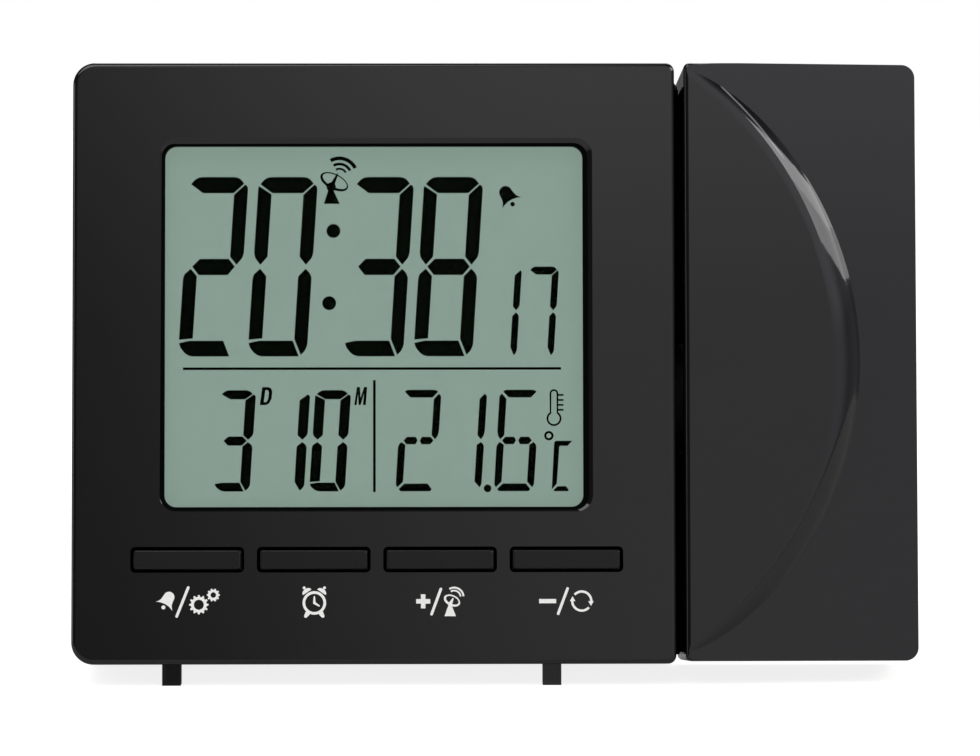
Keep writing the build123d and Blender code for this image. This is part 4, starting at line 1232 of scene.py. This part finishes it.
@dataclass
class Studio:
    """Pale floor, white surround, soft lamps and the camera."""

    floor_size: float = 8.0
    floor_tone: str = "#a6a6a4"
    floor_rough: float = 0.9
    floor_glow: float = 0.84
    floor_glossy_share: float = 0.05
    diffuse_level: float = 0.72
    lamps: tuple[SoftBox, ...] = (
        SoftBox("top", (-0.35, -0.45, 0.85), (0.7, 0.7), 4.5),
        SoftBox("right", (0.87, -0.31, 0.553), (1.2, 0.31), 4.0, -9.0),
        SoftBox("shoulder", (0.8, -0.272, 0.594), (1.15, 0.16), 1.0, -9.0),
        SoftBox("crest", (0.629, -0.455, 0.77), (0.1, 0.28), 0.33),
        SoftBox("left", (-0.85, -0.05, 0.14), (0.3, 0.3), 0.6),
        SoftBox("back", (0.1, 0.7, 0.8), (0.6, 0.6), 3.0),
    )
    # The surround's mirror image changes tone along this heading, from one reach to the other.
    sweep_heading: Place = (0.9, 0.0, 0.3)
    sweep_reach: float = 0.5
    glossy_tones: tuple[tuple[float, Place], ...] = (
        (0.2, (0.03, 0.03, 0.03)),
        (1.0, (0.78, 0.78, 0.86)),
        (0.44, (0.12, 0.12, 0.12)),
        (0.608, (0.69, 0.68, 0.68)),
    )
    # It also dims to the sides and overhead, and lightens from the horizon up: the axis, where the
    # change starts and ends, and the level at its start and end.
    glossy_falls: tuple[tuple[str, float, float, float, float], ...] = (
        ("Y", 0.35, 0.85, 0.42, 1.0),
        ("Z", 0.72, 0.52, 0.12, 1.0),
        ("Z", 0.2, 0.28, 0.9, 1.36),
    )
    camera_at: Place = (-0.00997, -0.71244, 0.10777)
    looks_at: Place = (-0.000968, -0.014828, 0.05076)
    lens: float = 154.95
    sensor: float = 36.0

    def build(self) -> None:
        """Set the stage."""
        self.make_floor()
        self.make_world()
        target = Vector(self.looks_at)
        for lamp in self.lamps:
            lamp.hang(target)
        self.make_camera(target)
        bpy.context.scene.view_settings.view_transform = "Standard"

    def seen_rays(self, tree: Tree, glossy_share: float) -> Socket:
        """Tell the rays that show a surface from those that only light it.

        Args:
            tree: Node tree of the floor or the surround.
            glossy_share: How far a mirrored ray counts as seen.

        Returns:
            A socket that is 1 for a ray from the camera or through glass and 0 for lighting rays.
        """
        path = add_node(tree, "ShaderNodeLightPath").outputs
        share = {0: path["Is Glossy Ray"], 1: glossy_share}
        mirrored_ray = add_node(tree, "ShaderNodeMath", share, operation="MULTIPLY")
        seen = path["Is Camera Ray"]
        for other in (path["Is Transmission Ray"], mirrored_ray.outputs[0]):
            both = {0: seen, 1: other}
            seen = add_node(tree, "ShaderNodeMath", both, operation="MAXIMUM").outputs[0]
        return seen

    def make_floor(self) -> None:
        """Lay the pale floor, which keeps the clock's shadow."""
        bpy.ops.object.select_all(action="DESELECT")
        bpy.ops.mesh.primitive_plane_add(size=self.floor_size)
        floor = bpy.context.active_object
        floor.name = "floor"
        material = bpy.data.materials.new("Pale seamless paper")
        material.use_nodes = True
        tree = material.node_tree
        shader = tree.nodes["Principled BSDF"]
        shader.inputs["Base Color"].default_value = linear(self.floor_tone)
        shader.inputs["Roughness"].default_value = self.floor_rough
        shader.inputs[SPECULAR].default_value = 0.0
        shader.inputs["Emission Color"].default_value = WHITE
        seen = self.seen_rays(tree, self.floor_glossy_share)
        glow = add_node(tree, "ShaderNodeMath", {0: seen, 1: self.floor_glow}, operation="MULTIPLY")
        tree.links.new(glow.outputs[0], shader.inputs["Emission Strength"])
        floor.data.materials.append(material)

    def make_world(self) -> None:
        """Make the surround: white to look at, toned in reflections and plain as a light."""
        world = bpy.data.worlds.new("surround")
        bpy.context.scene.world = world
        world.use_nodes = True
        tree = world.node_tree
        heading = add_node(tree, "ShaderNodeTexCoord").outputs["Generated"]
        tone, mirror_level = self.mirror_tone(tree, heading), self.mirror_level(tree, heading)
        mirrored_ray = add_node(tree, "ShaderNodeLightPath").outputs["Is Glossy Ray"]
        levels = {"Factor": mirrored_ray, "A": self.diffuse_level, "B": mirror_level}
        level = add_node(tree, "ShaderNodeMix", levels).outputs["Result"]
        tones = {"Factor": mirrored_ray, "A": WHITE, "B": tone}
        tint = add_node(tree, "ShaderNodeMix", tones, data_type="RGBA")
        white = self.seen_rays(tree, 0.0)
        strength = add_node(tree, "ShaderNodeMix", {"Factor": white, "A": level, "B": 1.0})
        sky = tree.nodes["Background"]
        tree.links.new(tint.outputs["Result"], sky.inputs["Color"])
        tree.links.new(strength.outputs["Result"], sky.inputs["Strength"])

    def mirror_tone(self, tree: Tree, heading: Socket) -> Socket:
        """Give the surround's colour in reflections.

        Args:
            tree: Node tree of the surround.
            heading: Direction that is looked in.

        Returns:
            The colour.
        """
        slant = {0: heading, 1: self.sweep_heading}
        along = add_node(tree, "ShaderNodeVectorMath", slant, operation="DOT_PRODUCT")
        reach = self.sweep_reach
        span = {"Value": along.outputs["Value"], "From Min": -reach, "From Max": reach}
        sweep = add_node(tree, "ShaderNodeMapRange", span)
        tones = add_node(tree, "ShaderNodeValToRGB", {"Fac": sweep.outputs["Result"]})
        ramp = tones.color_ramp
        ramp.interpolation = "EASE"
        for element, (place, tone) in zip(ramp.elements, self.glossy_tones):
            element.position, element.color = place, (*tone, 1.0)
        for place, tone in self.glossy_tones[2:]:
            ramp.elements.new(place).color = (*tone, 1.0)
        return tones.outputs["Color"]

    def mirror_level(self, tree: Tree, heading: Socket) -> Socket:
        """Give the surround's brightness in reflections.

        Args:
            tree: Node tree of the surround.
            heading: Direction that is looked in.

        Returns:
            The brightness.
        """
        parts = add_node(tree, "ShaderNodeSeparateXYZ", {0: heading}).outputs
        level: float | Socket = 1.0
        for axis, start, end, low, high in self.glossy_falls:
            along = add_node(tree, "ShaderNodeMath", {0: parts[axis]}, operation="ABSOLUTE")
            span = {"Value": along.outputs[0], "From Min": start, "From Max": end}
            span |= {"To Min": low, "To Max": high}
            fall = add_node(tree, "ShaderNodeMapRange", span, interpolation_type="SMOOTHSTEP")
            both = {0: fall.outputs["Result"], 1: level}
            level = add_node(tree, "ShaderNodeMath", both, operation="MULTIPLY").outputs[0]
        return level

    def make_camera(self, target: Vector) -> None:
        """Set the camera where the photograph was taken from.

        Args:
            target: What the camera looks at.
        """
        bpy.ops.object.camera_add(location=self.camera_at)
        camera = bpy.context.active_object
        facing = target - Vector(self.camera_at)
        camera.rotation_euler = facing.to_track_quat("-Z", "Y").to_euler()
        camera.data.lens = self.lens
        camera.data.sensor_width = self.sensor
        camera.data.sensor_fit = "HORIZONTAL"
        bpy.context.scene.camera = camera


def main() -> None:
    """Build the clock's looks round the frame and report each piece."""
    logging.basicConfig(level=logging.INFO, format="%(name)s: %(message)s")
    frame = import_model()
    face = FaceFrame(frame["joints"])
    parts: tuple[SubAssembly, ...] = (
        Case(), Display(), KeyRow(), SnoozeBar(), PowerSupply(), Electronics(), ProjectorArm()
    )
    for part in parts:
        part.dress(frame["nodes"])
        part.build(face)
    Studio().build()


if __name__ == "__main__":
    main()
